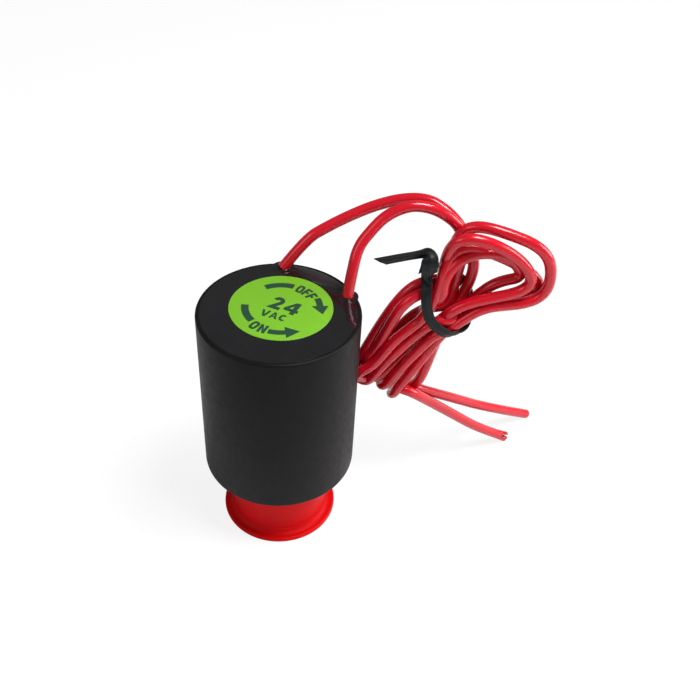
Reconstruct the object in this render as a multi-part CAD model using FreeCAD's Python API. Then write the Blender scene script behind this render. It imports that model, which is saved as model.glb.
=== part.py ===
"""Solenoid valve coil: potted coil on a threaded stem, thread cap, plunger set and tied leads.

Millimetres, +Z up. The origin is on the coil's axis, on the face that the thread cap stands on.
"""
import math
import os

import FreeCAD
import Part

V = FreeCAD.Vector
Z_AXIS = V(0, 0, 1)

# Coil body
body_diameter = 33.0
body_height = 40.3
body_bottom = 16.8            # height of the body's underside over the floor
housing_wall = 1.5
housing_floor = 1.8
rim_wall = 0.75               # thin lip round the potting
rim_depth = 5.2
bottom_round = 0.7
rim_chamfer = 0.3
seat_gap = 0.05               # between parts that are pressed or potted together
round_facets = 3              # straight facets of a quarter round

# Red cap over the thread
cap_clearance = 0.225         # round the thread's crests
cap_wall = 1.0
cap_floor = 1.5
cap_flange_reach = 2.15       # flange's edge beyond the neck
cap_flange_height = 1.1
cap_flange_chamfer = 0.35
cap_neck_fillet = 1.5
cap_lip_chamfer = 0.3
cap_top_gap = 0.3             # between the cap's lip and the body
cap_foot_recess = 0.4
cap_foot_width = 2.2

# Threaded stem
stem_wall = 4.075             # from the guide tube's bore to the thread's crests
stem_end = 4.6                # height of the stem's lower end over the floor
nose_step = 1.925             # nose below the thread's crests
nose_length = 4.2
thread_chamfer = 1.3
neck_relief = 0.8             # plain undercut above the thread
neck_relief_depth = 0.5
shoulder_height = 1.4
mouth_step = 0.6              # retainer's seat, wider than the guide tube's bore
mouth_chamfer = 0.5
o_ring_section = 1.6
o_ring_groove_depth = 1.0
o_ring_drop = 2.0             # groove's lower edge above the stem's end
o_ring_sides = 10

# Magnetic circuit
potting_wall = 1.0            # resin between the sleeve and the housing
potting_slab = 6.9            # resin over the upper washer
sleeve_wall = 1.4
sleeve_slit = 1.2
washer_thickness = 1.6
bobbin_clearance = 0.2        # between the bobbin's flanges and the sleeve
bobbin_flange = 1.0
bobbin_wall = 0.9
winding_margin = 1.2          # from the winding to the flange's edge
tape_thickness = 0.25
tail_inset = 0.6              # winding's ends leave this far inside its outside
tail_turn = 3.0               # angle of each end from the notch's middle
tail_rise = 0.9               # height at which the ends bend over the upper washer
tail_notch_angle = 45.0
tail_notch_width = 3.0
tail_notch_margin = 0.45      # notch beyond the winding's ends

# Guide tube, core and plunger
tube_outer_diameter = 10.8
tube_wall = 0.5
core_length = 12.0
core_head_rise = 0.8          # staked end above the upper washer
shading_ring_inset = 0.65     # from the core's side to the ring
shading_ring_width = 0.8
shading_ring_depth = 1.0
retainer_height = 1.4
retainer_clearance = 0.3      # round the plunger's nose pin
plunger_clearance = 0.15      # in the guide tube
plunger_gap = 2.8             # air gap to the core at rest
plunger_seat_gap = 0.1
plunger_flat_depth = 0.6
nose_pin_diameter = 6.6
nose_pin_length = 2.4
spring_bore_wall = 1.85       # plunger's metal round the spring's bore
spring_bore_depth = 9.0
spring_clearance = 0.4        # between the spring and its bore
spring_wire = 0.5
spring_turns = 7              # open turns between the two closed ones
spring_runs_per_turn = 10
spring_wire_sides = 8
seal_wall = 1.0               # pin's metal round the seal
seal_height = 2.2
seal_stands_out = 0.4

# Label and sealant on the potted face
label_margin = 6.1            # from the label's size to the body's
label_thickness = 0.15
label_centre = (0.4, 1.05)
sealant_depth = 0.5
sealant_width = 3.0
sealant_edge = 0.35           # left between the bead and the rim
sealant_end_angle = 7.0       # left between the bead's tips and the leads

# Leads: insulation size, where and how they leave the body, and the points chosen by hand after that
lead_diameter = 2.4
lead_sides = 12
lead_buried = 2.0
lead_inset = 2.1              # from the body's side to a lead's middle
lead_a_angle = 86.4
lead_b_angle = 18.8
lead_a_heading = (4.0, 1.53, 5.1)      # first run, from the potted face
lead_b_heading = (0.97, 1.46, 4.7)
lead_a_points = [
    (10.6, 17.2, 66.7), (19.6, 17.8, 71.0), (27.8, 17.4, 72.9),
    (33.6, 15.2, 72.2), (37.4, 11.6, 68.6), (38.8, 8.4, 64.6),
]
lead_b_points = [
    (16.4, 8.2, 66.6), (20.4, 10.2, 71.7), (26.0, 11.3, 74.1),
    (31.4, 10.9, 73.3), (35.0, 9.4, 70.2), (36.0, 7.4, 67.0),
]
tail_a_route = [(27.8, 8.4, 28.4), (40.0, 14.9, 19.0), (53.0, 21.0, 8.6), (65.8, 26.9, 1.2)]
tail_b_route = [(26.0, 5.6, 27.4), (36.5, 9.6, 18.0), (47.0, 13.8, 8.3), (58.0, 18.2, 1.2)]
strand_diameter = 0.76
strand_length = 1.2
splice_diameter = 3.0
splice_length = 3.4
winding_tail_diameter = 0.4
winding_tail_sides = 6

# Hank: outline in the X-Z plane, where the leads are folded and tied
hank_thickness = 6.4
hank_middle_y = 6.0
hank_edge_chamfer = 1.8
tie_centre = (35.35, 52.75)   # x and z of the middle of the tie
tie_lean = 26.7               # angle of the bundle over the floor at the tie, in degrees
tie_pinch = 13.2              # width of the bundle inside the tie
pinch_run = 6.0               # straight run of the outline through the tie
hank_loop = [
    (31.4, 64.4), (33.4, 71.2), (38.6, 75.3), (46.0, 74.0), (53.0, 69.6), (55.6, 62.4), (52.6, 55.0), (44.4, 52.4),
]
hank_fan = [
    (35.0, 40.6), (33.3, 32.2), (27.8, 26.7), (20.4, 29.8), (18.0, 38.2), (22.2, 50.4), (25.4, 57.2),
]
eye_centre = (43.9, 62.4)
eye_length = 10.4
eye_height = 5.6
eye_end_flat = 0.1            # straight part of the eye's round ends
eye_tilt = -6.0

# Twist tie
tie_gap = 0.3
tie_thickness = 0.6
tie_width = 2.0
knot_diameter = 2.6
knot_top = (29.6, 4.2, 67.6)
tie_tail_end = (19.4, 4.2, 65.2)
tie_tail_thickness = 0.5

# Heights and radii that follow from the sizes above
body_radius = body_diameter / 2
body_top = body_bottom + body_height
floor_top = body_bottom + housing_floor
shoulder_top = floor_top + shoulder_height
sleeve_top = body_top - potting_slab
sleeve_radius = body_radius - housing_wall - potting_wall
sleeve_inner = sleeve_radius - sleeve_wall
bobbin_bottom = shoulder_top + washer_thickness
bobbin_top = sleeve_top - washer_thickness
bobbin_radius = sleeve_inner - bobbin_clearance
winding_radius = bobbin_radius - winding_margin
tail_radius = winding_radius - tail_inset
tube_radius = tube_outer_diameter / 2
tube_inner = tube_radius - tube_wall
tube_bottom = stem_end + retainer_height
bobbin_bore = tube_radius + seat_gap
core_radius = tube_inner - seat_gap
core_face = bobbin_top - core_length
core_top = sleeve_top + core_head_rise
shading_ring_radius = core_radius - shading_ring_inset
plunger_radius = tube_inner - plunger_clearance
plunger_bottom = tube_bottom + plunger_seat_gap
plunger_top = core_face - plunger_gap
spring_bore_radius = plunger_radius - spring_bore_wall
nose_pin_radius = nose_pin_diameter / 2
seal_radius = nose_pin_radius - seal_wall
rim_inner = body_radius - rim_wall
stem_bore = tube_radius + seat_gap
mouth_radius = stem_bore + mouth_step
thread_radius = stem_bore + stem_wall
nose_radius = thread_radius - nose_step
o_ring_groove_radius = nose_radius - o_ring_groove_depth
cap_inner = thread_radius + cap_clearance
cap_neck = cap_inner + cap_wall
cap_flange = cap_neck + cap_flange_reach


def turned(profile):
    """Solid of revolution about Z of a closed outline of (radius, height) corners."""
    corners = [V(r, 0, z) for r, z in profile]
    face = Part.Face(Part.makePolygon(corners + corners[:1]))
    return face.revolve(V(0, 0, 0), Z_AXIS, 360)


def ring(outer, inner, low, high):
    """Plain ring between two radii and two heights."""
    return turned([(inner, low), (outer, low), (outer, high), (inner, high)])


def disc(radius, low, high, at=(0, 0)):
    """Plain cylinder from low to high, upright over at."""
    return Part.makeCylinder(radius, high - low, V(at[0], at[1], low))


def rod(start, end, radius):
    """Round rod between two points."""
    return Part.makeCylinder(radius, start.distanceToPoint(end), start, end - start)


def quarter_round(centre, radius, start, end):
    """Corners of an outline's quarter round, between two angles in degrees."""
    turns = [math.radians(start + (end - start) * i / round_facets) for i in range(round_facets + 1)]
    return [(centre[0] + radius * math.cos(t), centre[1] + radius * math.sin(t)) for t in turns]


def round_section(diameter, sides, start, direction):
    """Many-sided section of a wire, square to the direction in which it starts."""
    place = FreeCAD.Placement(start, FreeCAD.Rotation(Z_AXIS, direction))
    turns = [2 * math.pi * i / sides for i in range(sides)]
    corners = [place.multVec(V(math.cos(t), math.sin(t), 0) * (diameter / 2)) for t in turns]
    return Part.makePolygon(corners + corners[:1])


def route_wire(points):
    """Straight runs joined by tangent arcs, each as large as its two runs allow."""
    corners = [V(*p) for p in points]
    edges = []
    radii = []
    here = corners[0]
    for before, corner, after in zip(corners, corners[1:], corners[2:]):
        into = (corner - before).normalize()
        out = (after - corner).normalize()
        setback = 0.45 * min(before.distanceToPoint(corner), corner.distanceToPoint(after))
        half_turn = into.getAngle(out) / 2
        radius = setback / math.tan(half_turn)
        arc_start = corner - into * setback
        arc_end = corner + out * setback
        inwards = (out - into).normalize()
        arc_middle = corner + inwards * (radius / math.cos(half_turn) - radius)
        edges.append(Part.LineSegment(here, arc_start).toShape())
        edges.append(Part.Arc(arc_start, arc_middle, arc_end).toShape())
        radii.append(radius)
        here = arc_end
    edges.append(Part.LineSegment(here, corners[-1]).toShape())
    return Part.Wire(edges), radii


def closed_outline(points):
    """Closed outline in one plane: straight runs with a tangent arc round each point."""
    count = len(points)
    edges = []
    ends = []
    for i, corner in enumerate(points):
        before, after = points[i - 1], points[(i + 1) % count]
        into = (corner - before).normalize()
        out = (after - corner).normalize()
        setback = 0.45 * min(before.distanceToPoint(corner), corner.distanceToPoint(after))
        half_turn = into.getAngle(out) / 2
        radius = setback / math.tan(half_turn)
        middle = corner + (out - into).normalize() * (radius / math.cos(half_turn) - radius)
        ends.append((corner - into * setback, corner + out * setback))
        edges.append(Part.Arc(ends[-1][0], middle, ends[-1][1]).toShape())
    for i, (_, leave) in enumerate(ends):
        edges.append(Part.LineSegment(leave, ends[(i + 1) % count][0]).toShape())
    return Part.Wire(Part.__sortEdges__(edges))


def routed_tube(points, diameter, name):
    """Tube along a route, with its bend radii and volume reported."""
    wire, radii = route_wire(points)
    start = V(*points[0])
    direction = V(*points[1]) - start
    section = round_section(diameter, lead_sides, start, direction)
    tube = wire.makePipeShell([section], True, False)
    expected = Part.Face(section).Area * wire.Length
    print(name, "length", round(wire.Length, 1), "radii", [round(r, 1) for r in radii],
          "volume ratio", round(tube.Volume / expected, 4))
    return tube


def housing():
    """Moulded cup with a thin lip round its mouth and a hole for the stem."""
    inner = body_radius - housing_wall
    step = body_top - rim_depth
    hole = thread_radius - neck_relief_depth + seat_gap
    foot = quarter_round((body_radius - bottom_round, body_bottom + bottom_round), bottom_round, -90, 0)
    return turned([(hole, body_bottom)] + foot + [
        (body_radius, body_top - rim_chamfer), (body_radius - rim_chamfer, body_top), (rim_inner, body_top),
        (rim_inner, step), (inner, step), (inner, floor_top), (hole, floor_top),
    ])


def threaded_stem():
    """Stem with its shoulder inside the housing, thread body, nose and O-ring groove."""
    nose = nose_radius
    nose_top = stem_end + nose_length
    groove_low = stem_end + o_ring_drop
    groove_high = groove_low + o_ring_section
    groove = o_ring_groove_radius
    crest = thread_radius
    relief = crest - neck_relief_depth
    relief_low = body_bottom - neck_relief
    shoulder = sleeve_radius - seat_gap
    return turned([
        (mouth_radius, stem_end), (nose - mouth_chamfer, stem_end), (nose, stem_end + mouth_chamfer),
        (nose, groove_low), (groove, groove_low), (groove, groove_high), (nose, groove_high),
        (nose, nose_top), (crest - thread_chamfer, nose_top), (crest, nose_top + thread_chamfer),
        (crest, relief_low - neck_relief_depth), (relief, relief_low), (relief, floor_top),
        (shoulder, floor_top), (shoulder, shoulder_top), (stem_bore, shoulder_top),
        (stem_bore, tube_bottom), (mouth_radius, tube_bottom),
    ])


def stem_o_ring():
    """O-ring in the groove of the stem's nose."""
    centre = o_ring_groove_radius + o_ring_section / 2
    height = stem_end + o_ring_drop + o_ring_section / 2
    radius = o_ring_section / 2 - seat_gap
    turns = [2 * math.pi * (i + 0.5) / o_ring_sides for i in range(o_ring_sides)]
    return turned([(centre + radius * math.cos(t), height + radius * math.sin(t)) for t in turns])


def plunger_retainer():
    """Ring snapped into the stem's mouth, which holds the guide tube and stops the plunger."""
    return ring(mouth_radius - seat_gap, nose_pin_radius + retainer_clearance, stem_end, tube_bottom)


def thread_cap():
    """Cup with a wide foot flange, pulled over the thread for transport."""
    lip = body_bottom - cap_top_gap
    foot = cap_flange - cap_foot_width
    edge = cap_flange_chamfer
    cove = quarter_round((cap_neck + cap_neck_fillet, cap_flange_height + cap_neck_fillet),
                         cap_neck_fillet, 270, 180)
    return turned([
        (0, cap_foot_recess), (foot - cap_foot_recess, cap_foot_recess), (foot, 0),
        (cap_flange - edge, 0), (cap_flange, edge), (cap_flange, cap_flange_height - edge),
        (cap_flange - edge, cap_flange_height),
    ] + cove + [
        (cap_neck, lip - cap_lip_chamfer), (cap_neck - cap_lip_chamfer, lip), (cap_inner, lip),
        (cap_inner, cap_floor), (0, cap_floor),
    ])


def yoke_sleeve():
    """Rolled steel sleeve with its open seam."""
    sleeve = ring(sleeve_radius - seat_gap, sleeve_inner, shoulder_top, sleeve_top)
    seam = Part.makeBox(body_radius, sleeve_slit, sleeve_top, V(-body_radius, -sleeve_slit / 2, 0))
    return sleeve.cut(seam)


def lower_flux_washer():
    """Steel washer between the stem's shoulder and the bobbin."""
    return ring(sleeve_inner - seat_gap, bobbin_bore, shoulder_top, bobbin_bottom)


def tail_notch(low, high):
    """Notch that lets the winding's ends up through the bobbin flange and the upper washer."""
    inner = tail_radius - tail_notch_margin
    notch = Part.makeBox(sleeve_inner - inner, tail_notch_width, high - low,
                         V(inner, -tail_notch_width / 2, low))
    notch.rotate(V(0, 0, 0), Z_AXIS, tail_notch_angle)
    return notch


def upper_flux_washer():
    """Steel washer staked under the core's head."""
    washer = ring(sleeve_inner - seat_gap, bobbin_bore, bobbin_top, sleeve_top)
    return washer.cut(tail_notch(bobbin_top, sleeve_top))


def bobbin():
    """Moulded bobbin: barrel and two flanges, the upper one notched for the winding's ends."""
    flange = bobbin_radius
    barrel = bobbin_bore + bobbin_wall
    spool = turned([
        (bobbin_bore, bobbin_bottom), (flange, bobbin_bottom), (flange, bobbin_bottom + bobbin_flange),
        (barrel, bobbin_bottom + bobbin_flange), (barrel, bobbin_top - bobbin_flange),
        (flange, bobbin_top - bobbin_flange), (flange, bobbin_top), (bobbin_bore, bobbin_top),
    ])
    return spool.cut(tail_notch(bobbin_top - bobbin_flange, bobbin_top))


def copper_winding():
    """Body of the winding, between the bobbin's flanges."""
    return ring(winding_radius, bobbin_bore + bobbin_wall + seat_gap,
                bobbin_bottom + bobbin_flange, bobbin_top - bobbin_flange)


def winding_tape():
    """Tape lapped round the winding."""
    inner = winding_radius + seat_gap
    return ring(inner + tape_thickness, inner, bobbin_bottom + bobbin_flange, bobbin_top - bobbin_flange)


def guide_tube():
    """Drawn tube that the plunger slides in."""
    return ring(tube_radius, tube_inner, tube_bottom, bobbin_top)


def fixed_core():
    """Pole piece in the top of the guide tube, with the shading ring's groove in its face."""
    core = turned([
        (0, core_face), (core_radius, core_face), (core_radius, bobbin_top),
        (tube_radius, bobbin_top), (tube_radius, core_top), (0, core_top),
    ])
    outer = shading_ring_radius
    return core.cut(ring(outer, outer - shading_ring_width, core_face, core_face + shading_ring_depth))


def shading_ring():
    """Copper ring in the core's face, which keeps the plunger from humming."""
    outer = shading_ring_radius - seat_gap
    return ring(outer, outer - shading_ring_width + 2 * seat_gap, core_face, core_face + shading_ring_depth)


def plunger():
    """Steel plunger with side flats, spring bore and a nose pin that holds the seal."""
    nose_low = plunger_bottom - nose_pin_length
    radius = plunger_radius
    pin = nose_pin_radius
    body = turned([
        (0, nose_low), (pin, nose_low), (pin, plunger_bottom), (radius, plunger_bottom),
        (radius, plunger_top), (0, plunger_top),
    ])
    body = body.cut(disc(spring_bore_radius, plunger_top - spring_bore_depth, plunger_top))
    body = body.cut(disc(seal_radius + seat_gap, nose_low, nose_low + seal_height - seal_stands_out))
    for near in (radius - plunger_flat_depth, -radius):
        flat = Part.makeBox(2 * radius, plunger_flat_depth, plunger_top - plunger_bottom,
                            V(-radius, near, plunger_bottom))
        body = body.cut(flat)
    return body


def plunger_seal():
    """Rubber disc in the plunger's nose, which closes the valve's pilot hole."""
    low = plunger_bottom - nose_pin_length - seal_stands_out
    return disc(seal_radius, low, low + seal_height)


def plunger_spring():
    """Coil spring with closed ends, from the bottom of the plunger's bore to the core's face."""
    low = plunger_top - spring_bore_depth + spring_wire / 2 + seat_gap
    high = core_face - spring_wire / 2 - seat_gap
    radius = spring_bore_radius - spring_clearance - spring_wire / 2
    closed_rise = spring_wire + seat_gap
    open_rise = (high - low - 2 * closed_rise) / spring_turns
    height = low
    points = []
    for i in range((spring_turns + 2) * spring_runs_per_turn + 1):
        turn = 2 * math.pi * i / spring_runs_per_turn
        points.append(V(radius * math.cos(turn), radius * math.sin(turn), height))
        in_open_part = spring_runs_per_turn <= i < (spring_turns + 1) * spring_runs_per_turn
        height += (open_rise if in_open_part else closed_rise) / spring_runs_per_turn
    section = round_section(spring_wire, spring_wire_sides, points[0], points[1] - points[0])
    return Part.makePolygon(points).makePipeShell([section], True, False, 1)


def at_angle(radius, angle):
    """Point at a radius and an angle in the plane of the floor."""
    return V(radius * math.cos(angle), radius * math.sin(angle), 0)


def lead_sealant():
    """Glossy lens of sealant let into the potting between the leads."""
    start_angle = math.radians(lead_b_angle + sealant_end_angle)
    end_angle = math.radians(lead_a_angle - sealant_end_angle)
    middle_angle = (start_angle + end_angle) / 2
    radius = rim_inner - sealant_edge
    start = at_angle(radius, start_angle)
    end = at_angle(radius, end_angle)
    outer = Part.Arc(start, at_angle(radius, middle_angle), end).toShape()
    inner = Part.Arc(end, at_angle(radius - sealant_width, middle_angle), start).toShape()
    bead = Part.Face(Part.Wire([outer, inner])).extrude(V(0, 0, sealant_depth))
    bead.translate(V(0, 0, body_top - sealant_depth))
    return bead


def lead_route(angle, heading, points):
    """A lead's points, from the middle of its hole in the potted face."""
    leave = at_angle(body_radius - lead_inset, math.radians(angle))
    leave.z = body_top
    return [tuple(leave), tuple(leave + V(*heading))] + points


def lead_start(route):
    """Where a lead begins inside the potting, and the direction in which it leaves."""
    first = V(*route[0])
    direction = (V(*route[1]) - first).normalize()
    return first - direction * lead_buried, direction


def splice(route):
    """Sleeve over the joint of one lead and one end of the winding."""
    start, direction = lead_start(route)
    return rod(start - direction * splice_length, start, splice_diameter / 2)


def splice_sleeves():
    """Both joints, buried in the potting."""
    return Part.makeCompound([splice(lead_a_route), splice(lead_b_route)])


def winding_tails():
    """Ends of the winding, up through the notch and out to the two splices."""
    tails = []
    for route, turn in ((lead_a_route, tail_turn), (lead_b_route, -tail_turn)):
        foot = at_angle(tail_radius, math.radians(tail_notch_angle + turn))
        foot.z = bobbin_top - bobbin_flange
        start, direction = lead_start(route)
        end = start - direction * splice_length
        knee = V(foot.x, foot.y, sleeve_top + tail_rise)
        wire = Part.makePolygon([foot, knee, end])
        section = round_section(winding_tail_diameter, winding_tail_sides, foot, Z_AXIS)
        tails.append(wire.makePipeShell([section], True, False, 1))
    return Part.makeCompound(tails)


def potting_fill():
    """Black resin: the wall round the sleeve and the slab over it, cast round what it holds."""
    inner = body_radius - housing_wall - seat_gap
    step = body_top - rim_depth
    head = tube_radius + seat_gap
    fill = turned([
        (0, core_top), (head, core_top), (head, sleeve_top), (sleeve_radius, sleeve_top),
        (sleeve_radius, floor_top), (inner, floor_top), (inner, step), (rim_inner - seat_gap, step),
        (rim_inner - seat_gap, body_top), (0, body_top),
    ])
    for held in splice_sleeves().Solids + winding_tails().Solids + [lead_sealant()]:
        fill = fill.cut(held)
    return fill


def rating_label():
    """Round label on the potted face."""
    return disc(body_radius - label_margin, body_top, body_top + label_thickness, label_centre)


def lead(route, name):
    """One lead from inside the potting up, over and down into the hank."""
    start, _ = lead_start(route)
    buried = [(start.x, start.y, start.z)] + route[1:]
    return routed_tube(buried, lead_diameter, name)


def tie_frame():
    """Place of the tie: X across the bundle, Y through it, Z along it."""
    lean = math.radians(tie_lean)
    across = V(math.sin(lean), 0, -math.cos(lean))
    along = V(math.cos(lean), 0, math.sin(lean))
    through = V(0, 1, 0)
    matrix = FreeCAD.Matrix(
        across.x, through.x, along.x, tie_centre[0],
        across.y, through.y, along.y, hank_middle_y,
        across.z, through.z, along.z, tie_centre[1],
        0, 0, 0, 1)
    return matrix, across, along


def wire_hank():
    """Outer form of the folded leads: right-hand loop with its eye, pinch at the tie, left fan."""
    _, across, along = tie_frame()
    low_y = hank_middle_y - hank_thickness / 2
    centre = V(tie_centre[0], low_y, tie_centre[1])
    side = across * (tie_pinch / 2)
    run = along * (pinch_run / 2)
    points = [centre - side - run, centre - side + run] + [V(x, low_y, z) for x, z in hank_loop]
    points += [centre + side + run, centre + side - run] + [V(x, low_y, z) for x, z in hank_fan]
    hank = Part.Face(closed_outline(points)).extrude(V(0, hank_thickness, 0))
    hank = hank.makeChamfer(hank_edge_chamfer, [e for e in hank.Edges if e.BoundBox.YLength < 1e-3])
    eye = rounded_bar(eye_length, eye_height, 2 * hank_thickness, (eye_height - eye_end_flat) / 2)
    eye.rotate(V(0, 0, 0), V(1, 0, 0), 90)
    eye.rotate(V(0, 0, 0), V(0, 1, 0), -eye_tilt)
    eye.translate(V(eye_centre[0], hank_middle_y, eye_centre[1]))
    return hank.cut(eye)


def rounded_bar(length, depth, height, radius):
    """Bar of rounded-rectangle section, centred, standing along Z."""
    bar = Part.makeBox(length, depth, height, V(-length / 2, -depth / 2, -height / 2))
    return bar.makeFillet(radius, [e for e in bar.Edges if e.BoundBox.ZLength > height - 1e-6])


def tie_band():
    """Plastic-coated wire ribbon closed round the bundle."""
    matrix, _, _ = tie_frame()
    length = tie_pinch + 2 * tie_gap
    depth = hank_thickness + 2 * tie_gap
    radius = hank_edge_chamfer + tie_gap
    outer = rounded_bar(length + 2 * tie_thickness, depth + 2 * tie_thickness, tie_width, radius + tie_thickness)
    band = outer.cut(rounded_bar(length, depth, tie_width + 2, radius))
    return band.transformGeometry(matrix)


def tie_knot():
    """Twisted ends of the tie, and the long end that points away from the bundle."""
    _, across, _ = tie_frame()
    reach = tie_pinch / 2 + tie_gap + tie_thickness
    foot = V(tie_centre[0], hank_middle_y, tie_centre[1]) - across * reach
    top = V(*knot_top)
    knot = rod(foot, top, knot_diameter / 2)
    end = V(*tie_tail_end)
    run = end - top
    strip = Part.makeBox(run.Length, tie_tail_thickness, tie_width, V(0, -tie_tail_thickness / 2, -tie_width / 2))
    strip.rotate(V(0, 0, 0), V(0, 1, 0), -math.degrees(math.atan2(run.z, run.x)))
    strip.translate(top)
    return knot.fuse(strip).removeSplitter()


def bare_strands():
    """Short bare conductor at the split end of lead B."""
    end = V(*tail_b_route[-1])
    direction = (end - V(*tail_b_route[-2])).normalize()
    flat = V(direction.x, direction.y, 0).normalize()
    return rod(end, end + flat * strand_length, strand_diameter / 2)


lead_a_route = lead_route(lead_a_angle, lead_a_heading, lead_a_points)
lead_b_route = lead_route(lead_b_angle, lead_b_heading, lead_b_points)


def sub_parts():
    """Every node's name and its shape."""
    return {
        "housing": housing(),
        "threaded_stem": threaded_stem(),
        "stem_o_ring": stem_o_ring(),
        "plunger_retainer": plunger_retainer(),
        "yoke_sleeve": yoke_sleeve(),
        "lower_flux_washer": lower_flux_washer(),
        "upper_flux_washer": upper_flux_washer(),
        "bobbin": bobbin(),
        "copper_winding": copper_winding(),
        "winding_tape": winding_tape(),
        "guide_tube": guide_tube(),
        "fixed_core": fixed_core(),
        "shading_ring": shading_ring(),
        "splice_sleeves": splice_sleeves(),
        "winding_tails": winding_tails(),
        "potting_fill": potting_fill(),
        "lead_sealant": lead_sealant(),
        "rating_label": rating_label(),
        "plunger": plunger(),
        "plunger_seal": plunger_seal(),
        "plunger_spring": plunger_spring(),
        "thread_cap": thread_cap(),
        "lead_a": lead(lead_a_route, "lead_a"),
        "lead_b": lead(lead_b_route, "lead_b"),
        "wire_hank": wire_hank(),
        "tail_a": routed_tube(tail_a_route, lead_diameter, "tail_a"),
        "tail_b": routed_tube(tail_b_route, lead_diameter, "tail_b"),
        "tie_band": tie_band(),
        "tie_knot": tie_knot(),
        "bare_strands": bare_strands(),
    }


def main():
    """Write one STEP file per node."""
    os.makedirs("parts", exist_ok=True)
    for name, shape in sub_parts().items():
        solids = shape.Solids
        print(name, "solids", len(solids), "valid", shape.isValid(), "volume", round(shape.Volume, 2))
        shape.exportStep(os.path.join("parts", name + ".step"))


main()
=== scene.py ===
"""Dressed model of a potted solenoid valve coil with its leads tied in a hank.

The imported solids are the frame. Every piece here is in metres in the same frame: +Z up, with the
origin on the coil's axis at the face that the thread cap stands on. Sizes in the pieces' classes are
in millimetres, as on a drawing, and MM turns them into metres.
"""

import logging
import math
from dataclasses import dataclass, field
from enum import Enum

import bmesh
import bpy
import numpy as np
from mathutils import Matrix, Vector


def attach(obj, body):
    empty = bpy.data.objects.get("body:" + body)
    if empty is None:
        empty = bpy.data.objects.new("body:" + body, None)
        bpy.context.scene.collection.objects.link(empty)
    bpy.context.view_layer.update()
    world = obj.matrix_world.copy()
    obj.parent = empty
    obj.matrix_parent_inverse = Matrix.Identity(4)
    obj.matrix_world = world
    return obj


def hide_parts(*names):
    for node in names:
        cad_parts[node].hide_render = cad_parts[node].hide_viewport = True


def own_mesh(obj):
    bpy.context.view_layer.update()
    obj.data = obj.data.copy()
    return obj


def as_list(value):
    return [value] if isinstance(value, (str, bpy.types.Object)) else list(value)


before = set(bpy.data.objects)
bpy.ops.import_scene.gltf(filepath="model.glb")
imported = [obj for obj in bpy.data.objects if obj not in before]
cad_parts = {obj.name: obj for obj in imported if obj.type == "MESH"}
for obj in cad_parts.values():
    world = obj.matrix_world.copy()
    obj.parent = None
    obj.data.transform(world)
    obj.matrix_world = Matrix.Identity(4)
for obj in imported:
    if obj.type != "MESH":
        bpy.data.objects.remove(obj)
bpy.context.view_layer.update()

log = logging.getLogger("coil")
MM = 0.001
COIL = "coil"
CAP = "cap"
WHITE = (1.0, 1.0, 1.0, 1.0)
Array = np.ndarray
Point = tuple[float, float, float]


# Colours and finishes

def linear(red: int, green: int, blue: int) -> tuple[float, float, float, float]:
    """Turn an sRGB colour in 0 to 255 into the linear colour that a shader takes.

    Args:
        red, green, blue: Colour as a picture editor shows it.

    Returns:
        Linear red, green, blue and an alpha of 1.
    """
    srgb = np.array([red, green, blue]) / 255
    value = np.where(srgb <= 0.04045, srgb / 12.92, ((srgb + 0.055) / 1.055) ** 2.4)
    return (*value.tolist(), 1.0)


class Relief(Enum):
    """Fine relief of a surface."""

    MOULDED = "moulded"
    TURNED = "turned"
    WOUND = "wound"
    CAST = "cast"

def new_group(name: str, inputs: list[tuple[str, str, float | tuple]],
              outputs: list[tuple[str, str]]) -> tuple[bpy.types.NodeTree, bpy.types.Node, bpy.types.Node]:
    """Start a shader node group with named sockets.

    Args:
        name: Group's name.
        inputs: Name, socket type and default value of each input.
        outputs: Name and socket type of each output.

    Returns:
        The group, its input node and its output node.
    """
    group = bpy.data.node_groups.new(name, "ShaderNodeTree")
    for label, kind, default in inputs:
        socket = group.interface.new_socket(name=label, in_out="INPUT", socket_type=kind)
        if kind != "NodeSocketVector":
            socket.default_value = default
    for label, kind in outputs:
        group.interface.new_socket(name=label, in_out="OUTPUT", socket_type=kind)
    return group, group.nodes.new("NodeGroupInput"), group.nodes.new("NodeGroupOutput")


def set_inputs(node: bpy.types.Node, values: dict[str, float | tuple]) -> None:
    """Set a node's inputs to constant values, by name."""
    for name, value in values.items():
        node.inputs[name].default_value = value


def link_all(tree: bpy.types.NodeTree, *rows: tuple) -> None:
    """Link nodes. Each row is a node, its output, another node and that one's input."""
    for source, output, target, entry in rows:
        tree.links.new(source.outputs[output], target.inputs[entry])


def add_math(tree: bpy.types.NodeTree, operation: str, *values: float) -> bpy.types.Node:
    """Add a Math node.

    Args:
        tree: Node tree that it goes into.
        operation: What it works out.
        values: Constant values of its inputs, in order.

    Returns:
        The node.
    """
    node = tree.nodes.new("ShaderNodeMath")
    node.operation = operation
    for socket, value in zip(node.inputs, values):
        socket.default_value = value
    return node


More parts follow.
